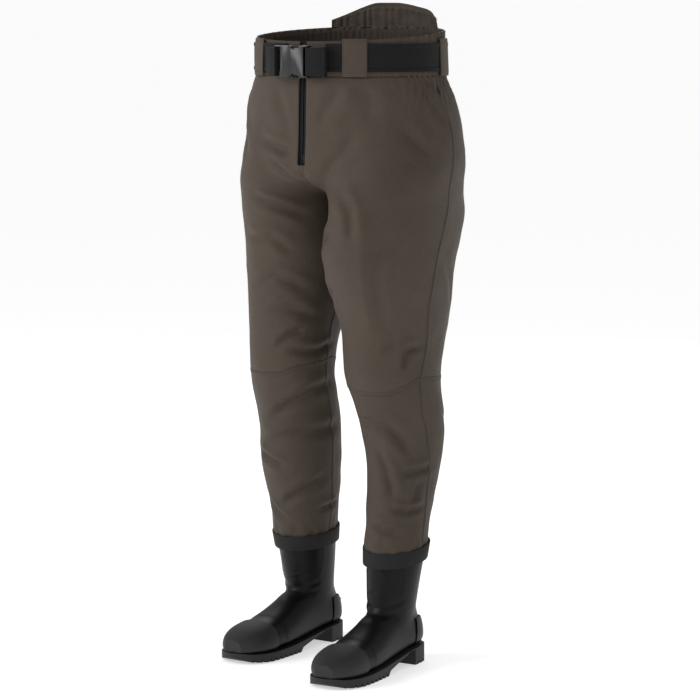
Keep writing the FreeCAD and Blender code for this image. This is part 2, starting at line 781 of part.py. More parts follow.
def foot_outline(grow):
    """The foot's outline seen from above, grown."""
    right = [(size(name + "_half_width") + grow, -size(name + "_ahead")) for name in FOOT]
    heel_y = -size("heel_end_ahead") + grow
    toe_y = -size("toe_tip_ahead") - grow - 2
    left = [(-x, y) for x, y in reversed(right)]
    points = [Vector(x, y, 0) for x, y in [(0, heel_y)] + right + [(0, toe_y)] + left]
    curve = Part.BSplineCurve()
    curve.interpolate(Points=points, PeriodicFlag=True)
    return Part.Face(Part.Wire([curve.toShape()]))


def side_view(points):
    """A block as wide as the object from a closed outline of (ahead, height) corners."""
    reach = size("reach")
    corners = [Vector(-reach, -ahead, height) for ahead, height in points]
    return Part.Face(Part.makePolygon(corners + corners[:1])).extrude(Vector(2 * reach, 0, 0))


def foot_floor(lift):
    """Corners (ahead, height) along the foot's underside, lifted, heel to toe."""
    floor = [(size(name + "_ahead"), size(name + "_under") + lift) for name in FOOT]
    return [(-size("reach"), floor[0][1])] + floor + [(size("reach"), floor[-1][1])]


def slab(low_lift, high_lift):
    """Everything between two lifts of the foot's underside."""
    return side_view(foot_floor(low_lift) + foot_floor(high_lift)[::-1])


def sole_profile():
    """Side view of the outsole: tread, raised shank and heel seat, with a slight toe spring."""
    seat = size("heel_end_under") - size("sole_seat")
    tread = [(size("toe_tip_ahead") + 6, 10), (size("toe_front_ahead"), 2.5),
             (size("toes_ahead") - 4, 0), (size("vamp_ahead") - 10, 0),
             (size("vamp_ahead") - 18, 8), (size("heel_breast") + 6, seat - 5),
             (size("heel_breast") - 6, seat), (-size("reach"), seat)]
    return side_view(tread + foot_floor(-size("sole_fit")))


def tread_grooves(name, starts):
    """Grooves across the tread from both edges, leaving the rib down the middle."""
    grooves = []
    for index, start in enumerate(starts):
        for side, low_x in (("in", "tread_rib / 2"), ("out", "-tread_rib / 2 - reach")):
            grooves.append(box("%s_%d_%s" % (name, index, side), (low_x, start, "-1"),
                               ("reach", "groove_width", "groove_depth + 1")))
    return group(name, grooves)


def keep_on_foot(side, label, thing):
    """Keep a piece drawn in the foot's frame, turned out and set at its ankle."""
    turn = SIDES[side] * size(side + "_toe_out")
    thing.Placement = FreeCAD.Placement(Vector(), Rotation(UP_AXIS, turn))
    return keep(side + "_" + label, thing, side + "_ankle_x", side + "_ankle_y")


def shaft_column(name, side, grow, low, high):
    """The boot's shaft in the foot's frame, grown, between two heights."""
    rings = []
    turn = Rotation(UP_AXIS, -SIDES[side] * size(side + "_toe_out"))
    for height in (low, high):
        x, y, z, half_width, half_depth = shaft_ring(side, height, grow)
        middle = turn.multVec(Vector(x - size(side + "_ankle_x"), y - size(side + "_ankle_y"), 0))
        rings.append((middle.x, middle.y, z, half_width, half_depth))
    return column(name, rings)


def boot(side):
    """One boot: upper, toe cap, heel counter, outsole, heel block, insole and lining."""
    wall = size("boot_wall")
    low = size("arch_under") + 22
    high = size("shaft_top_height") + 30
    foot = solid(side + "_foot_form", foot_form(0))
    shaft = shaft_column(side + "_shaft_form", side, 0, low, high)
    hollow_foot = solid(side + "_foot_hollow", foot_form(-wall, wall))
    hollow_shaft = shaft_column(side + "_shaft_hollow", side, -wall, low + wall, high + 1)
    outside = fuse(side + "_boot_outside", foot, shaft)
    inside = fuse(side + "_boot_inside", hollow_foot, hollow_shaft)
    above = box(side + "_shaft_trim", ("-reach", "-reach", "0"), ("2 * reach", "2 * reach", "reach"))
    above.Placement = FreeCAD.Placement(Vector(), Rotation(ACROSS_AXIS, size("cuff_tilt")))
    rise = math.tan(math.radians(size("cuff_tilt")))
    place(above, "-reach", "%s_shaft_lean - reach" % side,
          "cuff_height + shaft_overlap - %.6f * reach" % rise)
    shell = cut(side + "_boot_shell", outside, inside)
    keep_on_foot(side, "boot_upper", cut(side + "_upper_rubber", shell, above))

    skin = solid(side + "_foot_skin", foot_form(size("cap_wall")))
    above_sole = solid(side + "_above_sole", slab(size("skin_lift"), size("reach")))
    toe_block = box(side + "_toe_block", ("-reach", "-reach", "0"),
                    ("2 * reach", "reach - cap_start", "reach"))
    cap = common(side + "_toe_cap_blank", skin, toe_block, above_sole)
    keep_on_foot(side, "toe_cap", cut(side + "_toe_cap_rubber", cap, outside))
    heel_block_space = box(side + "_counter_block", ("-reach", "counter_front", "0"),
                           ("2 * reach", "reach", "counter_top"))
    counter_blank = common(side + "_counter_blank", skin, heel_block_space, above_sole)
    counter = cut(side + "_counter_rubber", counter_blank, outside)
    spur_block = box(side + "_spur_block",
                     ("-spur_width / 2", "-heel_end_ahead - 12", "spur_bottom"),
                     ("spur_width", "12 + cap_wall + spur_depth", "spur_top - spur_bottom"))
    spur = cut(side + "_spur", spur_block, outside)
    keep_on_foot(side, "heel_counter", fuse(side + "_heel_counter_rubber", counter, spur))

    outline = solid(side + "_sole_outline",
                    foot_outline(size("sole_flange")).extrude(Vector(0, 0, size("reach"))))
    profile = solid(side + "_sole_profile", sole_profile())
    start = size("vamp_ahead")
    pitch = size("groove_pitch")
    count = int((size("toe_front_ahead") - start) / pitch) + 1
    toe_starts = ["-vamp_ahead - %d * groove_pitch" % index for index in range(count)]
    sole = common(side + "_sole_blank", outline, profile)
    keep_on_foot(side, "outsole", cut(side + "_outsole_rubber", sole,
                                      tread_grooves(side + "_toe_groove", toe_starts)))

    heel = box(side + "_heel_space", ("-reach", "heel_breast", "0"),
               ("2 * reach", "reach", "heel_end_under - sole_seat"))
    count = int((-size("heel_end_ahead") - size("heel_breast")) / pitch)
    heel_starts = ["heel_breast + %d * groove_pitch" % index for index in range(1, count + 1)]
    keep_on_foot(side, "heel_block", cut(side + "_heel_rubber", common(side + "_heel_blank", outline, heel),
                                         tread_grooves(side + "_heel_groove", heel_starts)))

    bed = solid(side + "_insole_space", slab(wall, wall + size("insole_wall")))
    keep_on_foot(side, "insole", common(side + "_insole_felt", hollow_foot, bed))

    lining_low = size("lining_bottom")
    grow = -wall - size("lining_fit")
    sleeve = cut(side + "_lining_sleeve",
                 shaft_column(side + "_lining_outside", side, grow, lining_low, high),
                 shaft_column(side + "_lining_inside", side, grow - size("lining_wall"),
                              lining_low - 1, high + 1))
    keep_on_foot(side, "boot_lining", cut(side + "_lining_cloth", sleeve, above))


def cuff(side):
    """The band that seals the cloth to the boot."""
    wall = size("cloth_wall") + 2 * size("hem_fit")
    bottom = size("cuff_height") - 45
    top = size("cuff_height") + 32
    inner = column(side + "_cuff_inside", [shaft_ring(side, bottom - 1, wall),
                                           shaft_ring(side, top + 1, wall)])
    outer = column(side + "_cuff_outside", [shaft_ring(side, bottom, wall + size("cuff_wall")),
                                            shaft_ring(side, top, wall + size("cuff_wall"))])
    ring = cut(side + "_cuff_ring", outer, inner)
    above_low = above_cuff(side + "_cuff_low", side, "-cuff_width / 2")
    above_high = above_cuff(side + "_cuff_high", side, "cuff_width / 2")
    trimmed = common(side + "_cuff_trimmed", ring, above_low)
    keep(side + "_cuff_band", cut(side + "_cuff_rubber", trimmed, above_high))


# ---------------------------------------------------------------- the whole object

def check_document():
    """Stop if any object failed or any sub-part has no sound shape."""
    failed = [thing.Label for thing in doc.Objects
              if "Invalid" in thing.State or "Error" in thing.State]
    if failed:
        raise RuntimeError("failed objects: " + ", ".join(failed))
    for label, thing in nodes.items():
        if thing.Shape.isNull() or not thing.Shape.isValid() or not thing.Shape.Solids:
            raise RuntimeError("no sound solid: " + label)


def centre_origin():
    """Move the origin to the middle of the footprint of all the sub-parts."""
    whole = FreeCAD.BoundBox()
    for thing in nodes.values():
        whole.add(thing.Shape.optimalBoundingBox(False, False))
    for name, value in (("origin_x", whole.Center.x), ("origin_y", whole.Center.y)):
        sheet.set(sheet.getCellFromAlias(name), "%.4f" % value)
    doc.recompute()


def export():
    os.makedirs("parts", exist_ok=True)
    for label, thing in sorted(nodes.items()):
        thing.Shape.exportStep(os.path.join("parts", label + ".step"))


trousers()
waistband()
belt()
fly()
buckle()
straps()
for boot_side in SIDES:
    boot(boot_side)
    cuff(boot_side)
doc.recompute()
check_document()
centre_origin()
check_document()
export()
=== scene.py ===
import json
import math

import bmesh
import bpy
import numpy as np
from bpy.props import FloatProperty, FloatVectorProperty, PointerProperty
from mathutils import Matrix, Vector, noise
from mathutils.bvhtree import BVHTree

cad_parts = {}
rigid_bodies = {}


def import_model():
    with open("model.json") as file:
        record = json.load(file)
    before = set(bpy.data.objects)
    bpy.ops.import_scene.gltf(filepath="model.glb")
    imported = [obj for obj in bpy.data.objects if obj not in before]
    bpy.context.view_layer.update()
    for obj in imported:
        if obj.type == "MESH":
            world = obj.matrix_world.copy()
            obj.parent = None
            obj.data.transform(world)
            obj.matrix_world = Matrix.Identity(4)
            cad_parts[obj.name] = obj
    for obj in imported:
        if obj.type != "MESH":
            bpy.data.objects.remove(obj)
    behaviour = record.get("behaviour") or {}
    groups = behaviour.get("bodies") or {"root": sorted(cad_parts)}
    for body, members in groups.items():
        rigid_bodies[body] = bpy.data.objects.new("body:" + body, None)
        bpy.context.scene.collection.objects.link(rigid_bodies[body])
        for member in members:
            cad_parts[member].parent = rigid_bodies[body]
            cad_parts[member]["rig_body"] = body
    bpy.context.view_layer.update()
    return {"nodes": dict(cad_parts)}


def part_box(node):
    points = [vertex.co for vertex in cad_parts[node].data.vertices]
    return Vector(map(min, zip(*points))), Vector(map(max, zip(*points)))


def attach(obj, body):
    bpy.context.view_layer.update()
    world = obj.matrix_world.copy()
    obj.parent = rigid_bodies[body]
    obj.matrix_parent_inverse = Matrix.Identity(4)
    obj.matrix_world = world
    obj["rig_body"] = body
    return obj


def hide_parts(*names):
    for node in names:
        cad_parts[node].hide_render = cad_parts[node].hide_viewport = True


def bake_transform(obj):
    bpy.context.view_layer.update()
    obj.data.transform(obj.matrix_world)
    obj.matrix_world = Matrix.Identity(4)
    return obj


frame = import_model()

bl_info = {
    "name": "Boot-foot Waders",
    "version": (1, 0, 0),
    "blender": (4, 5, 0),
    "location": "3D View > Sidebar > Waders",
    "description": "Builds waist-high waders: trousers, waist, belt, fly, cuffs and boots",
    "category": "Add Mesh",
}

MM = 0.001
# The middle of the CAD box in the design's own plan, which lies at the origin here.
FOOTPRINT_MIDDLE = (4.633, -48.184)
NODES = frame["nodes"]

# Outlines in millimetres: height, middle across, middle back, half width, half depth.
TRUNK_RINGS = [
    (1135, 0, 0, 165, 135.4), (996, 0, 2, 169, 142.1), (955, 0, 5, 187, 146.4),
    (875, 4, 10, 199, 154.2), (850, 4, 10, 198, 155), (806, 3, 8, 195, 150),
]
LEG_RINGS = {
    "left": [
        (850, 95, 4, 92, 120), (785, 95, 0, 100, 146), (709, 96, -20, 98, 148),
        (628, 98, -20, 92, 121), (554, 100, -14, 82, 101), (493, 102, -21, 78, 89),
        (412, 106, 2, 72, 74), (331, 108, 3, 61, 65), (271, 109, -10, 55, 59),
        (232, 110, -19, 52.5, 56.5), (190, 110, -22, 52, 56),
    ],
    "right": [
        (850, -93, 10, 90, 118), (785, -94, 12, 96, 143), (709, -96, 10, 94, 130),
        (628, -99, -2, 84, 108), (554, -101, -20, 74, 88), (485, -102.5, -25, 71, 76),
        (433, -104, -9, 70, 76), (371, -105, 2, 68, 74), (308, -107, 9, 66, 72),
        (240, -108, 20, 57, 61), (190, -109, 23, 53, 57),
    ],
}
SIDES = {"left": 1, "right": -1}

# How the trousers' grid is laid out.
HALF_COLUMNS = 128
SEAM_COLUMN = 64
CROTCH_COLUMNS = 24
INSEAM_COLUMN = HALF_COLUMNS + CROTCH_COLUMNS // 2 + 1
TRUNK_ROWS = 54
LEG_ROWS = 150
TRUNK_TOP, TRUNK_BOTTOM, LEG_TOP, LEG_BOTTOM = 999, 788, 784, 190
FORK_ANGLE = 72
KNEE_HEIGHT = 480

# Where each knee seam runs: degrees round the leg and height.
KNEE_SEAMS = {
    "left": [(-180, 487), (-90, 483), (-32, 474), (-6, 469), (28, 471), (48, 481), (68, 494),
             (108, 490), (180, 487)],
    "right": [(-180, 500), (-90, 493), (-30, 487), (18, 490), (43, 502), (98, 512), (180, 500)],
}
# Where the outer seams run: height and degrees round the leg.
SIDE_SEAMS = {
    "left": [(190, 93), (256, 92), (313, 84), (358, 80), (387, 73), (426, 65), (491, 73),
             (527, 77), (629, 81), (723, 89), (771, 90)],
    "right": [(190, -90), (426, -84), (629, -86), (771, -90)],
}

# Folds: where it lies, depth, half width, lip beside it, and its run as degrees and height.
# A fold with a depth below zero is a ridge.
FOLDS = [
    ("trunk", 5.5, 9, 4.0, [(-33, 893), (-7, 871), (1, 822)]),
    ("trunk", 4.5, 7, 3.5, [(-24, 866), (-7, 822), (4, 806)]),
    ("trunk", 3.0, 12, 2.0, [(-20, 985), (-12, 935), (-6, 890)]),
    ("trunk", 2.6, 13, 2.0, [(24, 992), (7, 915)]),
    ("trunk", 3.2, 11, 2.4, [(29, 908), (15, 851), (10, 826)]),
    ("trunk", 3.0, 14, 2.0, [(52, 918), (67, 868)]),
    ("trunk", 3.0, 11, 2.0, [(73, 984), (84, 915)]),
    ("trunk", 2.6, 16, 1.5, [(40, 985), (36, 925)]),
    ("trunk", 3.4, 12, 2.5, [(-70, 975), (-58, 900), (-40, 860)]),
    ("trunk", 4.0, 14, 2.6, [(160, 960), (172, 880), (178, 820)]),
    ("trunk", 4.0, 14, 2.6, [(-158, 965), (-170, 890), (-177, 825)]),
    ("trunk", 2.6, 13, 1.8, [(136, 930), (150, 860)]),
    ("trunk", 3.5, 13, 2.4, [(-122, 935), (-142, 862)]),
    ("right", 5.0, 8, 4.2, [(-10, 797), (24, 775), (46, 764)]),
    ("right", 4.2, 9, 3.0, [(-24, 723), (10, 726), (33, 702)]),
    ("right", 3.4, 9, 2.6, [(-18, 644), (14, 659), (52, 635)]),
    ("right", 2.8, 9, 2.2, [(-2, 601), (29, 606), (66, 586)]),
    ("right", 4.2, 8, 3.2, [(12, 536), (34, 560), (52, 570)]),
    ("right", 4.4, 8, 3.4, [(30, 531), (69, 529), (98, 540)]),
    ("right", 3.4, 11, 2.6, [(-60, 700), (-75, 640), (-70, 590)]),
    ("right", 5.2, 9, 3.8, [(-14, 407), (63, 462), (105, 472)]),
    ("right", 4.0, 10, 3.0, [(-34, 366), (40, 385), (112, 395)]),
    ("right", 5.0, 7, 3.6, [(-46, 349), (-16, 338), (16, 324)]),
    ("right", 4.4, 8, 3.4, [(-6, 255), (36, 282), (78, 311)]),
    ("right", 3.6, 6, 2.8, [(58, 246), (106, 258)]),
    ("right", 3.4, 7, 2.4, [(-50, 268), (-20, 240), (10, 224)]),
    ("right", 4.4, 10, 3.0, [(150, 520), (180, 500), (215, 528)]),
    ("right", 4.6, 9, 3.2, [(146, 452), (180, 470), (222, 448)]),
    ("right", 3.8, 10, 2.8, [(-100, 430), (-140, 400), (-170, 352)]),
    ("right", 4.0, 8, 3.0, [(-96, 300), (-140, 262), (-176, 252)]),
    ("left", 5.0, 11, 3.4, [(-10, 814), (4, 780), (10, 728)]),
    ("left", -3.0, 26, 0.0, [(18, 800), (20, 700), (12, 560)]),
    ("left", 3.4, 13, 1.8, [(41, 748), (35, 705), (28, 640), (30, 570)]),
    ("left", 4.4, 9, 3.2, [(-56, 686), (-45, 725), (-18, 743)]),
    ("left", 3.6, 10, 2.4, [(-60, 600), (-40, 640), (-22, 650)]),
    ("left", 4.2, 7, 3.0, [(48, 510), (52, 545), (70, 552)]),
    ("left", 3.0, 9, 2.2, [(25, 545), (42, 562)]),
    ("left", 6.0, 11, 4.6, [(-40, 420), (-12, 420), (14, 411), (52, 360)]),
    ("left", -3.6, 20, 0.0, [(-28, 446), (20, 444), (56, 404)]),
    ("left", 4.4, 7, 3.4, [(30, 331), (84, 341)]),
    ("left", 4.8, 10, 3.0, [(-14, 380), (4, 340), (24, 286)]),
    ("left", 3.2, 7, 2.4, [(57, 280), (64, 320)]),
    ("left", 4.4, 6, 3.4, [(12, 272), (50, 268), (84, 275)]),
    ("left", 4.2, 7, 3.2, [(-22, 248), (10, 236), (43, 231)]),
    ("left", 3.0, 10, 2.0, [(156, 510), (185, 492), (214, 512)]),
    ("left", 3.0, 9, 2.0, [(158, 442), (188, 456), (220, 436)]),
    ("left", 1.8, 10, 1.2, [(112, 430), (140, 396), (170, 350)]),
    ("left", 2.0, 8, 1.4, [(122, 300), (150, 262), (186, 250)]),
    ("left", 1.8, 10, 1.2, [(96, 700), (118, 640), (128, 590)]),
]

# How strongly the folds are pressed in.
FOLD_DEPTH, FOLD_WIDTH, FOLD_LIP = 1.4, 0.78, 0.8
WAIST_GATHER, WAIST_PITCH = 3.2, 15.0
HEM_PLEAT, HEM_PITCH = 1.3, 26.0


# ---------------------------------------------------------------- small helpers

def smooth_step(value):
    value = np.clip(value, 0, 1)
    return value * value * (3 - 2 * value)


def ring_at(rings, height):
    """The middle and half sizes of an outline at a height, in millimetres of the row frame."""
    table = np.array(sorted(rings), float)
    columns = [np.interp(height, table[:, 0], table[:, k]) for k in range(1, 5)]
    columns[0] = columns[0] - FOOTPRINT_MIDDLE[0]
    columns[1] = columns[1] - FOOTPRINT_MIDDLE[1]
    return columns


def tree_of(*names):
    """One search tree over the faces of several CAD nodes."""
    corners, faces = [], []
    for name in names:
        mesh = NODES[name].data
        first = len(corners)
        corners += [vertex.co.copy() for vertex in mesh.vertices]
        faces += [[first + i for i in face.vertices] for face in mesh.polygons]
    return BVHTree.FromPolygons(corners, faces)


def outer_hit(tree, middle, direction, height, tries=(0, -2, 2, -4, 4, -7, -10, -14, -20, -30)):
    """The outermost point of a tree along a level direction from a middle, near a height."""
    for step in tries:
        start = Vector((middle[0], middle[1], height + step)) * MM + direction * 0.5
        spot = tree.ray_cast(start, -direction, 0.5)[0]
        if spot is not None:
            spot.z = height * MM
            return spot
    return None


def skin_rows(rows, closed=False, bm=None):
    """Extrude a first row of points through every other row. Gives the bmesh and the rows."""
    bm = bm or bmesh.new()
    ring = [bm.verts.new(point) for point in rows[0]]
    grid = [ring]
    for row in rows[1:]:
        ring = extrude_row(bm, ring, row, closed)
        grid.append(ring)
    return bm, grid


def pairs_of(ring, closed):
    return list(zip(ring, ring[1:])) + ([(ring[-1], ring[0])] if closed else [])


def extrude_row(bm, ring, points, closed):
    edges = [bm.edges.get(pair) or bm.edges.new(pair) for pair in pairs_of(ring, closed)]
    made = bmesh.ops.extrude_edge_only(bm, edges=edges)["geom"]
    fresh = {item for item in made if isinstance(item, bmesh.types.BMVert)}
    following = []
    for vertex, point in zip(ring, points):
        mate = next(e.other_vert(vertex) for e in vertex.link_edges if e.other_vert(vertex) in fresh)
        mate.co = point
        following.append(mate)
    return following


def put_uv(bm, places):
    """Give each vertex its place on the flat cloth, in metres."""
    layer = bm.loops.layers.uv.verify()
    for face in bm.faces:
        for loop in face.loops:
            loop[layer].uv = places[loop.vert]


def finish_piece(bm, name, material, smooth=True, modifiers=()):
    """Turn a bmesh into a finished object with a material and its modifiers."""
    mesh = bpy.data.meshes.new(name)
    bm.to_mesh(mesh)
    bm.free()
    piece = bpy.data.objects.new(name, mesh)
    bpy.context.scene.collection.objects.link(piece)
    mesh.materials.append(material)
    mesh.polygons.foreach_set("use_smooth", [smooth] * len(mesh.polygons))
    for kind, settings in modifiers:
        modifier = piece.modifiers.new(kind.title(), kind)
        for key, value in settings.items():
            setattr(modifier, key, value)
    return piece


def wall(thickness):
    """A modifier that gives a skin its thickness, inwards."""
    return ("SOLIDIFY", {"thickness": thickness, "offset": -1.0, "use_even_offset": False,
                         "use_quality_normals": True})


def smooth_by_angle(piece, degrees=35):
    """Keep edges sharper than an angle crisp under smooth shading."""
    mesh = piece.data
    mesh.polygons.foreach_set("use_smooth", [True] * len(mesh.polygons))
    bm = bmesh.new()
    bm.from_mesh(mesh)
    for edge in bm.edges:
        if len(edge.link_faces) == 2 and edge.calc_face_angle(0) > math.radians(degrees):
            edge.smooth = False
    bm.to_mesh(mesh)
    bm.free()


def rounded_copy(node, name, material, radius, segments=2, angle=32):
    """A merged copy of a CAD node whose sharp edges are rolled over."""
    bm = bmesh.new()
    bm.from_mesh(NODES[node].data)
    bmesh.ops.remove_doubles(bm, verts=bm.verts, dist=1e-6)
    bmesh.ops.dissolve_limit(bm, angle_limit=math.radians(1.5), verts=bm.verts, edges=bm.edges)
    sharp = [e for e in bm.edges if len(e.link_faces) == 2
             and e.calc_face_angle(0) > math.radians(angle)]
    if radius:
        bmesh.ops.bevel(bm, geom=sharp, offset=radius, segments=segments, profile=0.5,
                        affect="EDGES", material=-1, clamp_overlap=True)
    piece = finish_piece(bm, name, material)
    smooth_by_angle(piece)
    return piece


def stand_in(piece, body, slot, *nodes):
    """Let a piece take the place of its CAD nodes and move with a body."""
    if nodes:
        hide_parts(*nodes)
    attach(piece, body)
    return piece


def remade(node, ending, finish, slot, radius, segments=2):
    """A CAD node made again with rolled edges, moving as the node does."""
    piece = rounded_copy(node, node + ending, finishes[finish], radius, segments)
    return stand_in(piece, NODES[node]["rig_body"], slot, node)


def face_outwards(bm, middle, faces=None):
    """Turn a skin's faces away from a middle, judged level."""
    bm.normal_update()
    judged = faces or bm.faces
    if sum((f.calc_center_median() - middle).xy.dot(f.normal.xy) for f in judged) < 0:
        bmesh.ops.reverse_faces(bm, faces=bm.faces)
        bm.normal_update()


# ---------------------------------------------------------------- materials

def fresh_material(name, colour, roughness, **settings):
    material = bpy.data.materials.new(name)
    material.use_nodes = True
    shader = material.node_tree.nodes["Principled BSDF"]
    shader.inputs["Base Color"].default_value = (*colour, 1)
    shader.inputs["Roughness"].default_value = roughness
    for key, value in settings.items():
        shader.inputs[key.replace("_", " ")].default_value = value
    return material, material.node_tree.nodes, material.node_tree.links, shader


def coordinates(nodes, links, source, scale=(1, 1, 1)):
    place = nodes.new("ShaderNodeTexCoord")
    mapping = nodes.new("ShaderNodeMapping")
    mapping.inputs["Scale"].default_value = scale
    links.new(place.outputs[source], mapping.inputs["Vector"])
    return mapping.outputs["Vector"]


def noise_node(nodes, links, vector, scale, detail=3.0, rough=0.5):
    node = nodes.new("ShaderNodeTexNoise")
    node.inputs["Scale"].default_value = scale
    node.inputs["Detail"].default_value = detail
    node.inputs["Roughness"].default_value = rough
    links.new(vector, node.inputs["Vector"])
    return node.outputs["Fac"]


def math_node(nodes, links, operation, first, second=None, clamp=False):
    node = nodes.new("ShaderNodeMath")
    node.operation = operation
    node.use_clamp = clamp
    for socket, value in zip(node.inputs, (first, second)):
        if value is None:
            continue
        if isinstance(value, (int, float)):
            socket.default_value = value
        else:
            links.new(value, socket)
    return node.outputs[0]


def ramp_node(nodes, links, factor, stops):
    node = nodes.new("ShaderNodeValToRGB")
    ramp = node.color_ramp
    while len(ramp.elements) < len(stops):
        ramp.elements.new(0.5)
    for element, (position, colour) in zip(ramp.elements, stops):
        element.position = position
        element.color = (*colour, 1)
    links.new(factor, node.inputs["Fac"])
    return node.outputs["Color"]


def bump_node(nodes, links, height, distance, strength, shader, after=None):
    node = nodes.new("ShaderNodeBump")
    node.inputs["Distance"].default_value = distance
    node.inputs["Strength"].default_value = strength
    links.new(height, node.inputs["Height"])
    if after is not None:
        links.new(after, node.inputs["Normal"])
    links.new(node.outputs["Normal"], shader.inputs["Normal"])
    return node.outputs["Normal"]


def shades(colour, spread):
    return [tuple(c * k for c in colour) for k in (1 - spread, 1 + spread)]


def thread_wave(nodes, links, place, turns_a_metre):
    """A sine wave of threads along one axis, -1 to 1."""
    turned = math_node(nodes, links, "MULTIPLY", place, turns_a_metre)
    return math_node(nodes, links, "SINE", turned)


THREAD_PITCH, RIPSTOP_PITCH = 0.0009, 0.0052


def ripstop_cloth(name, colour):
    """Coated plain weave with a faint stronger grid, on the cloth's own flat places."""
    material, nodes, links, shader = fresh_material(name, colour, 0.66, Sheen_Weight=0.06,
                                                    Sheen_Roughness=0.45)
    shader.inputs["Specular IOR Level"].default_value = 0.32
    shader.inputs["Sheen Tint"].default_value = (0.8, 0.76, 0.7, 1)
    flat = coordinates(nodes, links, "UV")
    split = nodes.new("ShaderNodeSeparateXYZ")
    links.new(flat, split.inputs[0])
    threads, grid = [], []
    for place in split.outputs[:2]:
        threads.append(thread_wave(nodes, links, place, 2 * math.pi / THREAD_PITCH))
        wide = thread_wave(nodes, links, place, math.pi / RIPSTOP_PITCH)
        ridge = math_node(nodes, links, "ABSOLUTE", wide)
        grid.append(math_node(nodes, links, "LESS_THAN", ridge, 0.16))
    weave = math_node(nodes, links, "MULTIPLY", threads[0], threads[1])
    lines = math_node(nodes, links, "MAXIMUM", grid[0], grid[1])
    broad = noise_node(nodes, links, flat, 9.0, 4.0)
    warp = noise_node(nodes, links, coordinates(nodes, links, "UV", (900, 60, 1)), 1.0, 2.0)
    weft = noise_node(nodes, links, coordinates(nodes, links, "UV", (60, 900, 1)), 1.0, 2.0)
    fine = math_node(nodes, links, "ADD", warp, weft)
    tone = math_node(nodes, links, "ADD", math_node(nodes, links, "MULTIPLY", broad, 0.36),
                     math_node(nodes, links, "MULTIPLY", fine, 0.32))
    low, high = shades(colour, 0.26)
    links.new(ramp_node(nodes, links, tone, [(0.3, low), (0.7, high)]), shader.inputs["Base Color"])
    rough = math_node(nodes, links, "MULTIPLY_ADD", broad, 0.22)
    rough.node.inputs[2].default_value = 0.55
    links.new(rough, shader.inputs["Roughness"])
    height = math_node(nodes, links, "ADD", math_node(nodes, links, "MULTIPLY", weave, 0.25),
                       math_node(nodes, links, "MULTIPLY", lines, 0.5))
    first = bump_node(nodes, links, height, 0.00025, 0.5, shader)
    bump_node(nodes, links, noise_node(nodes, links, flat, 38.0, 3.0), 0.004, 0.12, shader, first)
    return material


def woven_webbing(name, colour, source="Object", pitch=0.0021, axis=2):
    """Close-woven strap: ridges across one axis and a fleck of thread."""
    material, nodes, links, shader = fresh_material(name, colour, 0.72, Sheen_Weight=0.04)
    shader.inputs["Specular IOR Level"].default_value = 0.2
    where = coordinates(nodes, links, source)
    split = nodes.new("ShaderNodeSeparateXYZ")
    links.new(where, split.inputs[0])
    ridge = thread_wave(nodes, links, split.outputs[axis], 2 * math.pi / pitch)
    fleck = noise_node(nodes, links, where, 700.0, 2.0)
    low, high = shades(colour, 0.3)
    links.new(ramp_node(nodes, links, fleck, [(0.3, low), (0.7, high)]), shader.inputs["Base Color"])
    height = math_node(nodes, links, "ADD", math_node(nodes, links, "MULTIPLY", ridge, 0.5), fleck)
    bump_node(nodes, links, height, 0.0004, 0.5, shader)
    return material


def moulded(name, colour, roughness, grain, grain_size, spread=0.14, **settings):
    """Moulded rubber or plastic: a fine skin texture and slightly uneven shine."""
    material, nodes, links, shader = fresh_material(name, colour, roughness, **settings)
    where = coordinates(nodes, links, "Object")
    broad = noise_node(nodes, links, where, 14.0, 4.0)
    skin = noise_node(nodes, links, where, grain_size, 3.0)
    low, high = shades(colour, spread)
    links.new(ramp_node(nodes, links, broad, [(0.35, low), (0.65, high)]), shader.inputs["Base Color"])
    rough = math_node(nodes, links, "MULTIPLY_ADD", broad, 0.18)
    rough.node.inputs[2].default_value = roughness - 0.09
    links.new(rough, shader.inputs["Roughness"])
    bump_node(nodes, links, skin, grain, 0.5, shader)
    return material


def linear(red, green, blue):
    """A screen colour, 0 to 255, as the shader's linear values."""
    values = [c / 255 for c in (red, green, blue)]
    return tuple(c / 12.92 if c <= 0.04045 else ((c + 0.055) / 1.055) ** 2.4 for c in values)


finishes = {}


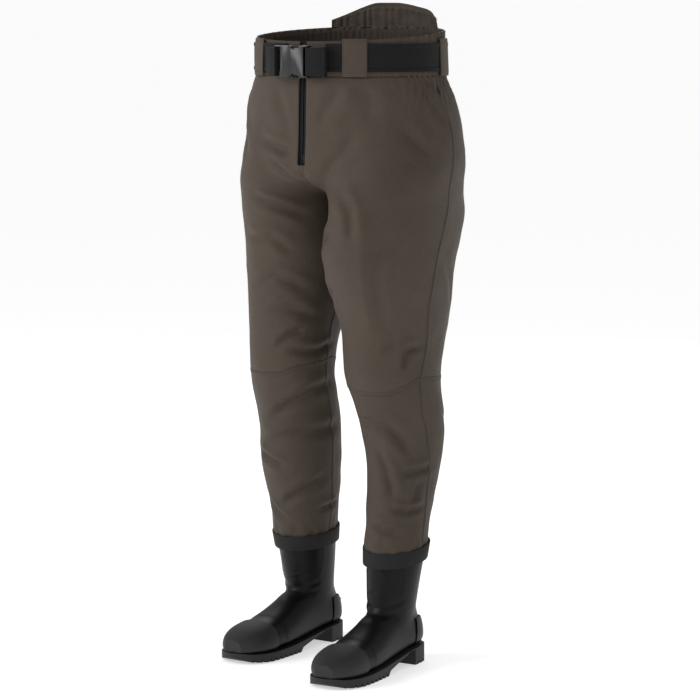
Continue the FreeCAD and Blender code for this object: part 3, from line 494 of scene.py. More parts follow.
def make_finishes():
    looks = bpy.context.scene.wader_looks
    finishes.update({
        "thigh_cloth": ripstop_cloth("thigh_cloth", tuple(looks.cloth_colour)),
        "lining_cloth": ripstop_cloth("waist_lining", tuple(c * 0.55 for c in looks.cloth_colour)),
        "shin_cloth": ripstop_cloth("shin_cloth", tuple(c * 0.92 for c in looks.cloth_colour)),
        "seam_thread": moulded("seam_thread", tuple(c * 0.62 for c in looks.cloth_colour), 0.7,
                               0.0002, 900.0),
        # The seam strips are real folds of the cloth; their colour, 14% darker than the cloth, is
        # painted shade standing in for the crease along each seam.
        "seam_tape_painted_shade": ripstop_cloth("seam_tape_painted_shade", tuple(c * 0.86 for c in looks.cloth_colour)),
        "webbing": woven_webbing("belt_webbing_weave", tuple(looks.belt_colour)),
        "binding": woven_webbing("belt_binding_weave", tuple(c * 0.8 for c in looks.belt_colour),
                                 pitch=0.0012),
        "elastic": woven_webbing("waist_elastic_weave", tuple(c * 1.3 for c in looks.belt_colour),
                                 pitch=0.0016),
        "buckle": moulded("buckle_plastic", linear(10, 10, 11), 0.3, 0.00008, 900.0),
        "zip_tape": woven_webbing("zip_tape_weave", linear(22, 21, 21), pitch=0.0008),
        "zip_coil": moulded("zip_coil_nylon", linear(16, 16, 16), 0.4, 0.00005, 900.0),
        "zip_metal": moulded("zip_slider_metal", linear(24, 24, 24), 0.38, 0.00003, 500.0,
                             Metallic=0.55),
        "cuff": moulded("cuff_rubber", linear(14, 14, 14), 0.85, 0.0002, 700.0),
        "boot": moulded("boot_rubber", tuple(looks.boot_colour), 0.42, 0.00012, 520.0,
                        Specular_IOR_Level=0.18),
        "cap": moulded("toe_cap_rubber", linear(22, 22, 24), 0.6, 0.0006, 620.0),
        "sole": moulded("sole_rubber", linear(18, 18, 19), 0.66, 0.0002, 420.0),
        "lining": woven_webbing("boot_lining_knit", linear(70, 70, 72), pitch=0.0018),
        "felt": woven_webbing("insole_felt", linear(88, 86, 82), pitch=0.0030),
    })


# ---------------------------------------------------------------- the trousers' surface

surface = {}


def fly_line():
    """The fly's line: its place across at two heights, read from the zip's coils."""
    ends = []
    for name in ("zip_coil_left", "zip_coil_right"):
        points = np.array([v.co for v in NODES[name].data.vertices])
        top = points[points[:, 2] > points[:, 2].max() - 0.006]
        foot = points[points[:, 2] < points[:, 2].min() + 0.006]
        ends.append((top.mean(0), foot.mean(0)))
    top = (ends[0][0] + ends[1][0]) / 2
    foot = (ends[0][1] + ends[1][1]) / 2
    return top, foot


def fly_across(height):
    top, foot = surface["fly"]
    share = (height * MM - foot[2]) / (top[2] - foot[2])
    return (foot[0] + np.clip(share, -0.6, 1.4) * (top[0] - foot[0])) / MM


def leg_angle(side, column):
    """Degrees round the leg of a trunk column counted from the front to the back."""
    return SIDES[side] * (-FORK_ANGLE + (360 - 2 * (90 - FORK_ANGLE)) * column / HALF_COLUMNS)


def ellipse_way(rings, height, angle):
    middle_x, middle_y, half_x, half_y = ring_at(rings, height)
    turn = math.radians(angle)
    return (middle_x, middle_y), (half_x * math.sin(turn), -half_y * math.cos(turn))


def trunk_point(tree, column, height):
    """A trunk vertex: columns run from the front centre to the left, back and right."""
    side = "left" if column <= HALF_COLUMNS else "right"
    count = column if side == "left" else 2 * HALF_COLUMNS - column
    turn = SIDES[side] * count * 180 / HALF_COLUMNS
    middle, way = ellipse_way(TRUNK_RINGS, height, turn)
    low = LEG_TOP
    leg_middle, leg_way = ellipse_way(LEG_RINGS[side], low, leg_angle(side, count))
    share = float(smooth_step((862 - height) / (862 - TRUNK_BOTTOM)))
    target = (leg_middle[0] + leg_way[0] - middle[0], leg_middle[1] + leg_way[1] - middle[1])
    way = (way[0] * (1 - share) + target[0] * share, way[1] * (1 - share) + target[1] * share)
    direction = Vector((way[0], way[1], 0)).normalized()
    expected = math.hypot(*way) * MM
    start_z = height * MM
    for step in (0, -2, 2, -4, 4):
        start = Vector((middle[0] * MM, middle[1] * MM, start_z + step * MM))
        for twist in (0, 0.004, -0.004, 0.04, -0.04, 0.08, -0.08):
            turned = Vector((direction.x * math.cos(twist) - direction.y * math.sin(twist),
                             direction.x * math.sin(twist) + direction.y * math.cos(twist), 0))
            spot, _, _, distance = tree.ray_cast(start, turned)
            if spot is not None and distance < 1.5 * expected + 0.03:
                point = Vector((start.x, start.y, start_z)) + direction * (distance + 0.002)
                return beside_fly(tree, point, side, count, height)
    point = Vector((start.x, start.y, start_z)) + direction * expected
    return beside_fly(tree, point, side, count, height)


def beside_fly(tree, point, side, count, height):
    """Line the front columns up with the fly, whose two edges are one column from its middle."""
    share = (1 - float(smooth_step((count - 6) / 9))) * float(smooth_step((height - 812) / 30))
    if share <= 0:
        return point
    offset = 7.4 + 4.2 * (count - 1) if count else 0
    across = fly_across(height) + SIDES[side] * offset
    reaches = []
    for near in ((across,) if count else (across - 8, across + 8)):
        start = Vector((near, ring_at(TRUNK_RINGS, height)[1], height)) * MM
        for step in (0, -2, 2):
            begin = start + Vector((0, 0, step * MM))
            spot = tree.ray_cast(begin, Vector((0, -1, 0)), 0.25)[0]
            if spot is not None:
                reaches.append(spot.y - 0.002)
                break
    if not reaches:
        return point
    return point.lerp(Vector((across * MM, sum(reaches) / len(reaches), point.z)), share)


def leg_height(side, row, angle):
    """The height of a leg vertex: rows follow the knee seam and end on the cuff's slope."""
    share = row / (LEG_ROWS - 1)
    plain = LEG_TOP + (LEG_BOTTOM - LEG_TOP) * share
    degrees, heights = zip(*KNEE_SEAMS[side])
    seam = np.interp((angle + 180) % 360 - 180, degrees, heights) - KNEE_HEIGHT
    height = plain + seam * math.exp(-((plain - KNEE_HEIGHT) / 75) ** 2)
    _, _, _, half_y = ring_at(LEG_RINGS[side], plain)
    slope = -math.cos(math.radians(angle)) * half_y * math.tan(math.radians(8))
    return height + slope * float(smooth_step((275 - plain) / 85))


def leg_point(tree, side, row, angle):
    share = row / (LEG_ROWS - 1)
    plain = LEG_TOP + (LEG_BOTTOM - LEG_TOP) * share
    heights, degrees = zip(*SIDE_SEAMS[side])
    seam = SIDES[side] * 90
    pull = (np.interp(plain, heights, degrees) - seam) * math.cos(math.radians(angle - seam)) ** 4
    if abs((angle - seam + 180) % 360 - 180) > 90:
        pull = 0
    angle = angle + pull
    height = leg_height(side, row, angle)
    middle, way = ellipse_way(LEG_RINGS[side], height, angle)
    direction = Vector((way[0], way[1], 0)).normalized()
    expected = math.hypot(*way) * MM
    distance = None
    for step in (0, -2, 2, -4, 4):
        start = Vector((middle[0] * MM, middle[1] * MM, (height + step) * MM))
        for twist in (0, 0.01, -0.01, 0.03, -0.03):
            turned = Vector((direction.x * math.cos(twist) - direction.y * math.sin(twist),
                             direction.x * math.sin(twist) + direction.y * math.cos(twist), 0))
            spot, _, _, reach = tree.ray_cast(start, turned)
            if spot is not None and reach < 1.4 * expected + 0.012:
                distance = reach + 0.002
                break
        if distance is not None:
            break
    if distance is None:
        distance = expected
    point = Vector((middle[0] * MM, middle[1] * MM, height * MM)) + direction * distance
    plane = (0.5 - FOOTPRINT_MIDDLE[0]) * MM
    limit = plane + SIDES[side] * 0.0015
    if (point.x - limit) * SIDES[side] < 0:
        start_x = middle[0] * MM
        point = (Vector((start_x, middle[1] * MM, height * MM))
                 + direction * distance * (limit - start_x) / (point.x - start_x))
    return point


def leg_angles(side):
    """Degrees of each leg column: the trunk's own, then the crotch's, from back to front."""
    own = [leg_angle(side, column) for column in range(HALF_COLUMNS + 1)]
    gap = 360 - abs(own[-1] - own[0])
    extra = [own[-1] + SIDES[side] * gap * (k + 1) / (CROTCH_COLUMNS + 1)
             for k in range(CROTCH_COLUMNS)]
    return own + extra


def cloth_nodes():
    return [side + end + part for side in ("left", "right") for end in ("_front", "_back")
            for part in ("_panel", "_knee", "_shin")]


def taut_over(heights, reaches):
    """The reach of a line pulled taut over every point of a run."""
    kept = []
    for spot in sorted(zip(heights, reaches)):
        while len(kept) > 1:
            (z0, r0), (z1, r1) = kept[-2:]
            if (z1 - z0) * (spot[1] - r0) - (r1 - r0) * (spot[0] - z0) < 0:
                break
            kept.pop()
        kept.append(spot)
    return np.interp(heights, [z for z, _ in kept], [r for _, r in kept])


def bridge_hips(trunk, legs):
    """Pull the cloth straight over the hollow between the seat and each thigh."""
    first, last = 12, HALF_COLUMNS - 6
    for side, sign in SIDES.items():
        middle = Vector((55 * sign, 30)) * MM
        for column in range(first, last):
            share = min(smooth_step((column - first) / 14), smooth_step((last - column) / 26))
            around = column if sign > 0 else -column % (2 * HALF_COLUMNS)
            run = [ring[around] for ring in trunk] + [ring[column] for ring in legs[side][1:]]
            run = [v for v in run if 0.69 < v.co.z < 0.93]
            heights = [v.co.z for v in run]
            reaches = [(v.co.xy - middle).length for v in run]
            for vertex, reach, taut in zip(run, reaches, taut_over(heights, reaches)):
                spot = middle + (vertex.co.xy - middle) * (1 + share * (taut / reach - 1))
                vertex.co.xy = spot


def build_surface():
    """The whole trousers as one skin: trunk rows, a crotch line and two legs of rows."""
    surface["fly"] = fly_line()
    tree = tree_of(*cloth_nodes())
    heights = np.linspace(TRUNK_TOP, TRUNK_BOTTOM, TRUNK_ROWS)
    rows = [[trunk_point(tree, column, height) for column in range(2 * HALF_COLUMNS)]
            for height in heights]
    bm, trunk = skin_rows(rows, closed=True)
    last = trunk[-1]
    back, front = last[HALF_COLUMNS], last[0]
    plane = (0.5 - FOOTPRINT_MIDDLE[0]) * MM
    crotch = []
    for k in range(CROTCH_COLUMNS):
        share = (k + 1) / (CROTCH_COLUMNS + 1)
        place = back.co.lerp(front.co, share)
        place.x = plane
        place.z -= 0.006 * math.sin(math.pi * share)
        crotch.append(bm.verts.new(place))
    seam = [back] + crotch + [front]
    for pair in zip(seam, seam[1:]):
        bm.edges.new(pair)
    legs = {}
    for side in SIDES:
        own = (last[:HALF_COLUMNS + 1] if side == "left"
               else [last[-column % (2 * HALF_COLUMNS)] for column in range(HALF_COLUMNS + 1)])
        ring = own + crotch
        angles = leg_angles(side)
        grid = [ring]
        for row in range(LEG_ROWS):
            points = [leg_point(tree, side, row, angle) for angle in angles]
            grid.append(extrude_row(bm, grid[-1], points, closed=True))
        legs[side] = grid
    bm.verts.index_update()
    bmesh.ops.recalc_face_normals(bm, faces=bm.faces)
    held = set(trunk[0]) | set(legs["left"][-1]) | set(legs["right"][-1])
    for ring in trunk:
        if ring[0].co.z > 0.843:
            held |= {ring[0], ring[1], ring[-1]}
    surface["held"] = held
    bridge_hips(trunk, legs)
    loose = [v for v in bm.verts if v not in held]
    for _ in range(7):
        bmesh.ops.smooth_vert(bm, verts=loose, factor=0.5, use_axis_x=True, use_axis_y=True,
                              use_axis_z=False)
    bm.normal_update()
    if sum((v.co.xy - Vector((0, 0.05))).dot(v.normal.xy) for v in trunk[10]) < 0:
        bmesh.ops.reverse_faces(bm, faces=bm.faces)
        bm.normal_update()
    surface.update(bm=bm, trunk=trunk, legs=legs)


# ---------------------------------------------------------------- folds

def angle_round(points, rings):
    """Degrees round an outline of every point, and its mean radius, in millimetres."""
    height = points[:, 2]
    middle_x, middle_y, half_x, half_y = ring_at(rings, height)
    turn = np.degrees(np.arctan2((points[:, 0] - middle_x) / half_x,
                                 -(points[:, 1] - middle_y) / half_y))
    return turn, (half_x + half_y) / 2


def fold_field(angle, radius, height, run, depth, width, lip):
    """How far a fold moves each point in or out, in millimetres."""
    centre = sum(p[0] for p in run) / len(run)
    around = (angle - centre + 180) % 360 - 180
    mean = radius[np.argmin(np.abs(height - sum(p[1] for p in run) / len(run)))]
    across = np.radians(around) * mean
    corners = [(math.radians(a - centre) * mean, h) for a, h in run]
    nearest = np.full(len(across), 1e9)
    signed = np.zeros(len(across))
    along = np.zeros(len(across))
    lengths = [math.hypot(b[0] - a[0], b[1] - a[1]) for a, b in zip(corners, corners[1:])]
    total, passed = sum(lengths), 0.0
    for (a, b), length in zip(zip(corners, corners[1:]), lengths):
        way_x, way_y = (b[0] - a[0]) / length, (b[1] - a[1]) / length
        off_x, off_y = across - a[0], height - a[1]
        reach = np.clip(off_x * way_x + off_y * way_y, 0, length)
        gap_x, gap_y = off_x - reach * way_x, off_y - reach * way_y
        gap = np.hypot(gap_x, gap_y)
        closer = gap < nearest
        side = np.sign(way_x * gap_y - way_y * gap_x)
        nearest = np.where(closer, gap, nearest)
        signed = np.where(closer, gap * side, signed)
        along = np.where(closer, (passed + reach) / total, along)
        passed += length
    taper = smooth_step(along / 0.25) * smooth_step((1 - along) / 0.25) * 0.9 + 0.1
    beyond = np.exp(-(np.maximum(nearest - 3.2 * width, 0) / width) ** 2)
    valley = -depth * np.exp(-(np.abs(signed) / width) ** 1.25)
    ridge = lip * np.exp(-((np.abs(signed) - 2.1 * width) / (1.2 * width)) ** 2)
    ridge = ridge * np.where(signed > 0, 1.0, 0.55)
    return (valley + ridge) * taper * beyond


def noise_field(points, size, seed):
    shift = Vector((seed * 7.3, seed * 3.1, seed * 5.7))
    return np.array([noise.noise(Vector(p) / size + shift) for p in points])


def crease_cloth():
    """Press every fold, gather and ripple into the skin, along its normals."""
    bm = surface["bm"]
    bm.verts.index_update()
    points = np.array([v.co for v in bm.verts]) / MM
    normals = np.array([v.normal for v in bm.verts])
    height = points[:, 2]
    belongs = np.zeros(len(points))
    for value, side in ((1, "left"), (2, "right")):
        for row in surface["legs"][side][1:]:
            for vertex in row:
                belongs[vertex.index] = value
    plane = 0.5 - FOOTPRINT_MIDDLE[0]
    moved = np.zeros(len(points))
    turns = {"trunk": angle_round(points, TRUNK_RINGS),
             "left": angle_round(points, LEG_RINGS["left"]),
             "right": angle_round(points, LEG_RINGS["right"])}
    blend = smooth_step((height - 770) / 50)
    left = smooth_step((points[:, 0] - plane + 14) / 28)
    masks = {
        "trunk": blend,
        "left": np.where(belongs == 1, 1.0, np.where(belongs == 2, 0.0, left)),
        "right": np.where(belongs == 2, 1.0, np.where(belongs == 1, 0.0, 1 - left)),
    }
    for where, depth, width, lip, run in FOLDS:
        angle, radius = turns[where]
        field = fold_field(angle, radius, height, run, depth, FOLD_WIDTH * width, FOLD_LIP * lip)
        moved += FOLD_DEPTH * field * masks[where]
    angle, radius = turns["trunk"]
    sides = smooth_step((np.abs(angle) - 48) / 24)
    sway = noise_field(points, 26.0, 3) * 5
    gather = np.cos(np.radians(angle) * radius * 2 * math.pi / WAIST_PITCH + sway)
    depth_share = smooth_step((height - 915) / 84) * sides
    moved += WAIST_GATHER * gather * depth_share * (0.7 + 0.6 * noise_field(points, 40.0, 4))
    for side in SIDES:
        angle, radius = turns[side]
        low = smooth_step((240 - height) / 45) * (height < 300)
        sway = noise_field(points, 30.0, 8) * 4
        pleat = np.cos(np.radians(angle) * radius * 2 * math.pi / HEM_PITCH + sway)
        moved += HEM_PLEAT * pleat * low * masks[side]
    moved += 2.2 * noise_field(points, 95.0, 1) + 1.3 * noise_field(points, 34.0, 2)
    rim = smooth_step((height - 985) / 14)
    moved *= 1 - 0.5 * rim
    beside = smooth_step((36 - np.abs(points[:, 0] - fly_across(height))) / 16)
    moved *= 1 - beside * (points[:, 1] < 0) * smooth_step((height - 833) / 16)
    crotch = np.exp(-((points[:, 0] - plane) / 9) ** 2) * smooth_step((820 - height) / 20)
    moved *= 1 - 0.8 * crotch * (height > 700)
    fresh = (points + normals * moved[:, None]) * MM
    for vertex, place in zip(bm.verts, fresh):
        vertex.co = place
    loose = [v for v in bm.verts if v not in surface["held"]]
    bmesh.ops.smooth_vert(bm, verts=loose, factor=0.2, use_axis_x=True, use_axis_y=True,
                          use_axis_z=False)
    bm.normal_update()


def flat_places():
    """Each vertex's place on the flat cloth: along its row from the outer seam, and down."""
    places = {}
    rows = [surface["trunk"]] + [surface["legs"][side][1:] for side in SIDES]
    for block, grid in enumerate(rows):
        for ring in grid:
            run = 0.0
            shift = block * 0.9
            places[ring[0]] = (shift, ring[0].co.z)
            for before, vertex in zip(ring, ring[1:]):
                run += (vertex.co - before.co).length
                places[vertex] = (shift + run, vertex.co.z)
    for vertex in surface["bm"].verts:
        places.setdefault(vertex, (vertex.co.x, vertex.co.z))
    return places


KNEE_ROW = round((LEG_TOP - KNEE_HEIGHT) / (LEG_TOP - LEG_BOTTOM) * (LEG_ROWS - 1)) + 1


def panel_of_faces():
    """Which panel each face of the skin belongs to."""
    owner = {}
    trunk, legs = surface["trunk"], surface["legs"]
    width = 2 * HALF_COLUMNS
    for upper, lower in zip(trunk, trunk[1:]):
        for k in range(width):
            corners = (upper[k], upper[(k + 1) % width], lower[k], lower[(k + 1) % width])
            side = "left" if k < HALF_COLUMNS else "right"
            end = "front" if k < SEAM_COLUMN or k >= width - SEAM_COLUMN else "back"
            slot = k in (0, width - 1) and lower[0].co.z > 0.8485
            owner[frozenset(corners)] = None if slot else f"{side}_{end}_panel"
    for side, grid in legs.items():
        count = len(grid[0])
        for row, (upper, lower) in enumerate(zip(grid, grid[1:])):
            part = "panel" if row < KNEE_ROW else "shin"
            for k in range(count):
                corners = (upper[k], upper[(k + 1) % count], lower[k], lower[(k + 1) % count])
                end = "front" if k < SEAM_COLUMN or k >= INSEAM_COLUMN else "back"
                owner[frozenset(corners)] = f"{side}_{end}_{part}"
    return owner


def bend_with_knee(piece):
    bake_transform(piece)


class WADERS_OT_trousers(bpy.types.Operator):
    """Make the eight trouser panels"""
    bl_idname = "waders.trousers"
    bl_label = "Trousers"

    def execute(self, context):
        build_surface()
        crease_cloth()
        bm = surface["bm"]
        places = flat_places()
        put_uv(bm, places)
        owner = panel_of_faces()
        labels = sorted({name for name in owner.values() if name})
        layer = bm.faces.layers.int.new("panel")
        for face in bm.faces:
            name = owner[frozenset(face.verts)]
            face[layer] = labels.index(name) + 1 if name else 0
        wall_size = context.scene.wader_sizes.cloth_wall
        for number, name in enumerate(labels, start=1):
            part = bm.copy()
            spare = [f for f in part.faces if f[part.faces.layers.int["panel"]] != number]
            bmesh.ops.delete(part, geom=spare, context="FACES")
            side, _, kind = name.split("_")
            finish = finishes["shin_cloth" if kind == "shin" else "thigh_cloth"]
            piece = finish_piece(part, f"trousers_{name}", finish, modifiers=[wall(wall_size)])
            replaced = [name] if kind == "shin" else [name, name.replace("panel", "knee")]
            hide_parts(*replaced)
            bend_with_knee(piece)
        return {"FINISHED"}


# ---------------------------------------------------------------- seams

def ribbon_rows(path, outs, width, lift, sink=0.0006):
    """Rows of points for a narrow tape that follows a path on the cloth."""
    half = width / 2
    profile = [(-half, -sink), (-half, lift * 0.3), (-half * 0.8, lift * 0.6),
               (half * 0.2, lift), (half * 0.5, lift), (half * 0.62, -sink * 0.4),
               (half * 0.7, -sink * 0.4), (half * 0.8, lift * 0.5), (half, lift * 0.3),
               (half, -sink)]
    rows = []
    for k, (point, out) in enumerate(zip(path, outs)):
        along = (path[min(k + 1, len(path) - 1)] - path[max(k - 1, 0)]).normalized()
        across = along.cross(out).normalized()
        rows.append([point + across * a + out * h for a, h in profile])
    return rows


def ribbon(name, runs, width, lift, finish):
    """One piece made of tapes along several runs of (points, outward directions)."""
    bm = bmesh.new()
    for path, outs in runs:
        _, grid = skin_rows(ribbon_rows(path, outs, width, lift), closed=True, bm=bm)
        for ring in (grid[0], grid[-1]):
            bm.faces.new(ring)
    bmesh.ops.recalc_face_normals(bm, faces=bm.faces)
    return finish_piece(bm, name, finish)


def add_stitches(bm, path, outs, offset, pitch=0.0034, length=0.0023, width=0.0006, lift=0.0005):
    """A row of raised stitches along a path, a fixed way to one side of it."""
    shifted = []
    for k, (point, out) in enumerate(zip(path, outs)):
        along = (path[min(k + 1, len(path) - 1)] - path[max(k - 1, 0)]).normalized()
        shifted.append((point + along.cross(out).normalized() * offset, out))
    gaps = [(b[0] - a[0]).length for a, b in zip(shifted, shifted[1:])]
    marks = np.concatenate(([0.0], np.cumsum(gaps)))
    for k in range(int(marks[-1] / pitch)):
        reach = (k + 0.5) * pitch
        i = min(int(np.searchsorted(marks, reach)) - 1, len(gaps) - 1)
        share = (reach - marks[i]) / max(gaps[i], 1e-9)
        point = shifted[i][0].lerp(shifted[i + 1][0], share)
        out = shifted[i][1].lerp(shifted[i + 1][1], share).normalized()
        along = (shifted[i + 1][0] - shifted[i][0]).normalized() * length / 2
        across = along.cross(out).normalized() * width / 2
        middle = point + out * lift
        ends = [bm.verts.new(point + along), bm.verts.new(point - along)]
        ring = [bm.verts.new(p) for p in (point + across, middle, point - across,
                                          point - out * lift)]
        for a, b in pairs_of(ring, True):
            bm.faces.new((a, b, ends[0]))
            bm.faces.new((b, a, ends[1]))


def stitch_piece(name, rows, finish, **settings):
    bm = bmesh.new()
    for path, outs, offset in rows:
        add_stitches(bm, path, outs, offset, **settings)
    bmesh.ops.recalc_face_normals(bm, faces=bm.faces)
    return finish_piece(bm, name, finish)


def run_of(vertices):
    return [v.co.copy() for v in vertices], [v.normal.copy() for v in vertices]


def leg_column(side, column):
    """A leg's column, from the trunk's waist where it has one, down to the hem."""
    grid = surface["legs"][side]
    count = 2 * HALF_COLUMNS
    upper = []
    if column <= HALF_COLUMNS:
        place = column if side == "left" else (count - column) % count
        upper = [ring[place] for ring in surface["trunk"][:-1]]
    return upper + [ring[column] for ring in grid]


class WADERS_OT_seams(bpy.types.Operator):
    """Tape and stitch the seams of the trousers"""
    bl_idname = "waders.seams"
    bl_label = "Seams"

    def execute(self, context):
        # tape is the seam strips' finish: the cloth darkened with painted shade of the seams' creases.
        tape, thread = finishes["seam_tape_painted_shade"], finishes["seam_thread"]
        width = context.scene.wader_sizes.seam_width
        trunk = surface["trunk"]
        for side in SIDES:
            grid = surface["legs"][side]
            outer = run_of(leg_column(side, SEAM_COLUMN))
            inner = run_of([ring[INSEAM_COLUMN] for ring in grid])
            knee = grid[KNEE_ROW]
            knee = run_of(knee + knee[:1])
            seams = ribbon(f"{side}_leg_seams", [outer, inner, knee], width, 0.0007, tape)
            bend_with_knee(seams)
            rows = [(*run, way * width * 0.29) for run in (outer, inner, knee) for way in (-1, 1)]
            stitches = stitch_piece(f"{side}_leg_stitches", rows, thread)
            bend_with_knee(stitches)
        front = run_of([ring[0] for ring in trunk if ring[0].co.z < 0.852])
        back = run_of([ring[HALF_COLUMNS] for ring in trunk])
        rise = ribbon("rise_seams", [front, back], width, 0.0007, tape)
        stand_in(rise, "root", "ripstop")
        return {"FINISHED"}


# ---------------------------------------------------------------- waist

def waist_turn(height, angle):
    """The trunk's middle at a height and the level direction at an angle round it."""
    middle, way = ellipse_way(TRUNK_RINGS, height, angle)
    return middle, Vector((way[0], way[1], 0)).normalized()


def band_grid(tree, angles, heights_of, rows, raise_out=0.0, ripple=None):
    """Rows of points round a waist piece, on a CAD node's outer face, with ripples."""
    grid = []
    for row in range(rows):
        share = row / (rows - 1)
        line = []
        for angle in angles:
            low, high = heights_of(angle)
            height = low + (high - low) * share
            middle, way = waist_turn(height, angle)
            spot = outer_hit(tree, middle, way, height)
            if spot is None:
                near = waist_turn(height, angle + (0.7 if angle < 0 else -0.7))
                spot = outer_hit(tree, *near, height)
            if spot is None:
                raise RuntimeError(f"no cloth found at {angle:.0f} degrees, height {height:.0f}")
            out = raise_out + (ripple(angle, height, share) if ripple else 0)
            line.append(spot + way * out * MM)
        grid.append(line)
    return grid


def waist_cloth(node, name, finish, slot, grid, angles, modifiers, soften=False):
    """A gridded piece of cloth at the waist, with its place on the flat cloth as its UV."""
    bm, rings = skin_rows(grid)
    places = {vertex: (math.radians(angle) * 0.168, vertex.co.z)
              for ring in rings for vertex, angle in zip(ring, angles)}
    put_uv(bm, places)
    if soften:
        bmesh.ops.smooth_vert(bm, verts=bm.verts, factor=0.5, use_axis_x=True, use_axis_y=True,
                              use_axis_z=False)
    bmesh.ops.recalc_face_normals(bm, faces=bm.faces)
    face_outwards(bm, Vector((-0.004, 0.05, 0)))
    piece = finish_piece(bm, name, finishes[finish], modifiers=modifiers)
    return stand_in(piece, "root", slot, node)


def waist_stitches(name, rows):
    """Stitches along rows of (points, outward directions, offset) at the waist."""
    return stand_in(stitch_piece(name, rows, finishes["seam_thread"]), "root", "ripstop")


def wave(angle, pitch, seed, radius=168):
    """An uneven gather round the waist, -1 to 1."""
    run = math.radians(angle) * radius
    sway = 5 * noise.noise(Vector((run / 34, seed, 0)))
    size = 0.6 + 0.8 * noise.noise(Vector((run / 22, seed + 9, 3)))
    return math.cos(run * 2 * math.pi / pitch + sway) * size


def band_top(angle):
    """The waistband's top edge, which rises towards the back."""
    _, way = ellipse_way(TRUNK_RINGS, 1057, angle)
    front = ring_at(TRUNK_RINGS, 1057)
    drop = (way[1] + front[3]) / (2 * front[3])
    return 1057 + 23 * drop


BACK_EDGE = [(136, 1088), (142, 1095), (147, 1105), (153, 1110), (160, 1113), (168, 1117),
             (176, 1120), (193, 1120), (201, 1112), (207, 1105), (213, 1098), (220, 1091),
             (226, 1084)]


def gathered(angle):
    return float(smooth_step((abs((angle + 180) % 360 - 180) - 46) / 26))


class WADERS_OT_waistband(bpy.types.Operator):
    """Make the waistband, its elastic and the raised back panel"""
    bl_idname = "waders.waistband"
    bl_label = "Waistband"

    def execute(self, context):
        sizes = context.scene.wader_sizes
        bands = {"waistband_front_left": (2.4, 88), "waistband_front_right": (-88, -2.4),
                 "waistband_back": (88, 272)}
        tree = tree_of(*bands)
        fly_turn = math.degrees(math.asin((fly_across(1030) - ring_at(TRUNK_RINGS, 1030)[0]) / 166))

        def ripple(angle, _, share):
            low = wave(angle, 13.0, 1) * (1 - share) + wave(angle, 17.0, 5) * share
            edge = 0.6 + 1.6 * abs(share - 0.5)
            return 1.9 * low * gathered(angle) * edge

        for name, (start, end) in bands.items():
            if name != "waistband_back":
                start, end = start + fly_turn * (start > -80), end + fly_turn * (end < 80)
            angles = np.linspace(start, end, int((end - start) / 0.8))
            grid = band_grid(tree, angles, lambda a: (995, band_top(a)), 22, 0, ripple)
            piece = waist_cloth(name, name + "_cloth", "thigh_cloth", "ripstop", grid, angles,
                                [wall(sizes.hem_wall)])
            waist_stitches(name + "_stitches",
                           [(*run_of(rings_of(piece, len(angles), row)), 0) for row in (1, 3, 19)])
        self.elastic()
        self.back_panel(sizes)
        return {"FINISHED"}

    @staticmethod
    def elastic():
        """The ribbed elastic inside the back of the waistband."""
        tree = tree_of("waist_elastic")
        angles = np.linspace(40, 320, 360)

        def heights(angle):
            top = band_top(angle) - 6
            return top - 30, top

        def ribs(angle, _, share):
            return 1.2 * wave(angle, 11.0, 21) * (0.4 + 0.6 * share) - 1.0

        usable = []
        for angle in angles:
            middle, way = waist_turn(1045, angle)
            if outer_hit(tree, middle, way, 1045, (0, 5, -5, 10, -10, 20, -20)) is not None:
                usable.append(angle)
        grid = band_grid(tree, usable, heights, 9, 0, ribs)
        piece = waist_cloth("waist_elastic", "waist_elastic_band", "lining_cloth", "elastic",
                            grid, usable, [wall(0.0014)])

    @staticmethod
    def back_panel(sizes):
        """The gathered panel that rises above the waistband at the back."""
        tree = tree_of("back_panel")
        fine = np.linspace(BACK_EDGE[0][0], BACK_EDGE[-1][0], 181)
        rise = np.interp(fine, *zip(*BACK_EDGE))
        rise = np.convolve(np.pad(rise, 12, mode="edge"), np.hanning(25) / 12.0, mode="valid")
        usable = []
        for angle in np.linspace(134, 228, 150):
            middle, way = waist_turn(1085, angle)
            if outer_hit(tree, middle, way, 1085, (0, 3, -3, 6)) is not None:
                usable.append(angle)

        def heights(angle):
            return 1077, max(1080.5, float(np.interp(angle, fine, rise)))

        def ripple(angle, height, share):
            return (1.7 * wave(angle, 15.0, 12) * (1 - 0.75 * smooth_step((share - 0.72) / 0.1))
                    - 1.2 * math.exp(-((share - 0.78) / 0.03) ** 2)
                    + 1.2 * noise.noise(Vector((angle / 9, height / 16, 4))))

        grid = band_grid(tree, usable, heights, 22, 0.2, ripple)
        piece = waist_cloth("back_panel", "back_panel_cloth", "thigh_cloth", "ripstop", grid,
                            usable, [wall(sizes.hem_wall)])
        path, outs = run_of(rings_of(piece, len(usable), 17))
        waist_stitches("back_panel_stitches", [(path, outs, 0), (path, outs, -0.003)])


def rings_of(piece, width, row):
    """A row of a gridded piece's own vertices."""
    return piece.data.vertices[row * width:(row + 1) * width]


# ---------------------------------------------------------------- belt, loops and buckle

def strap_grid(tree, angles, height, profile):
    """Rows of a strap: each row crosses the strap, and profile is (up, out) in millimetres."""
    rows = []
    for angle in angles:
        middle, way = waist_turn(height, angle)
        spot = outer_hit(tree, middle, way, height)
        if spot is None:
            continue
        rows.append([spot + way * out * MM + Vector((0, 0, up * MM)) for up, out in profile])
    return rows


def belt_profile(width, thick):
    """A closed section of webbing with ridged bindings along both edges."""
    half = width / 2
    outer = [(-half, -thick / 2), (-half + 0.5, 0.3), (-half + 1.4, 0.6), (-half + 2.3, 0.35),
             (-half + 3.2, 0.6), (-half + 4.1, 0.35), (-half + 5.0, 0.6), (-half + 6.0, 0.4),
             (-half + 6.6, -0.5), (-half + 9, -0.55), (-half + 14, -0.35), (0, -0.3)]
    outer += [(-up, out) for up, out in reversed(outer[:-1])]
    inner = [(half - 0.6, -thick), (0, -thick), (-half + 0.6, -thick)]
    return outer + inner


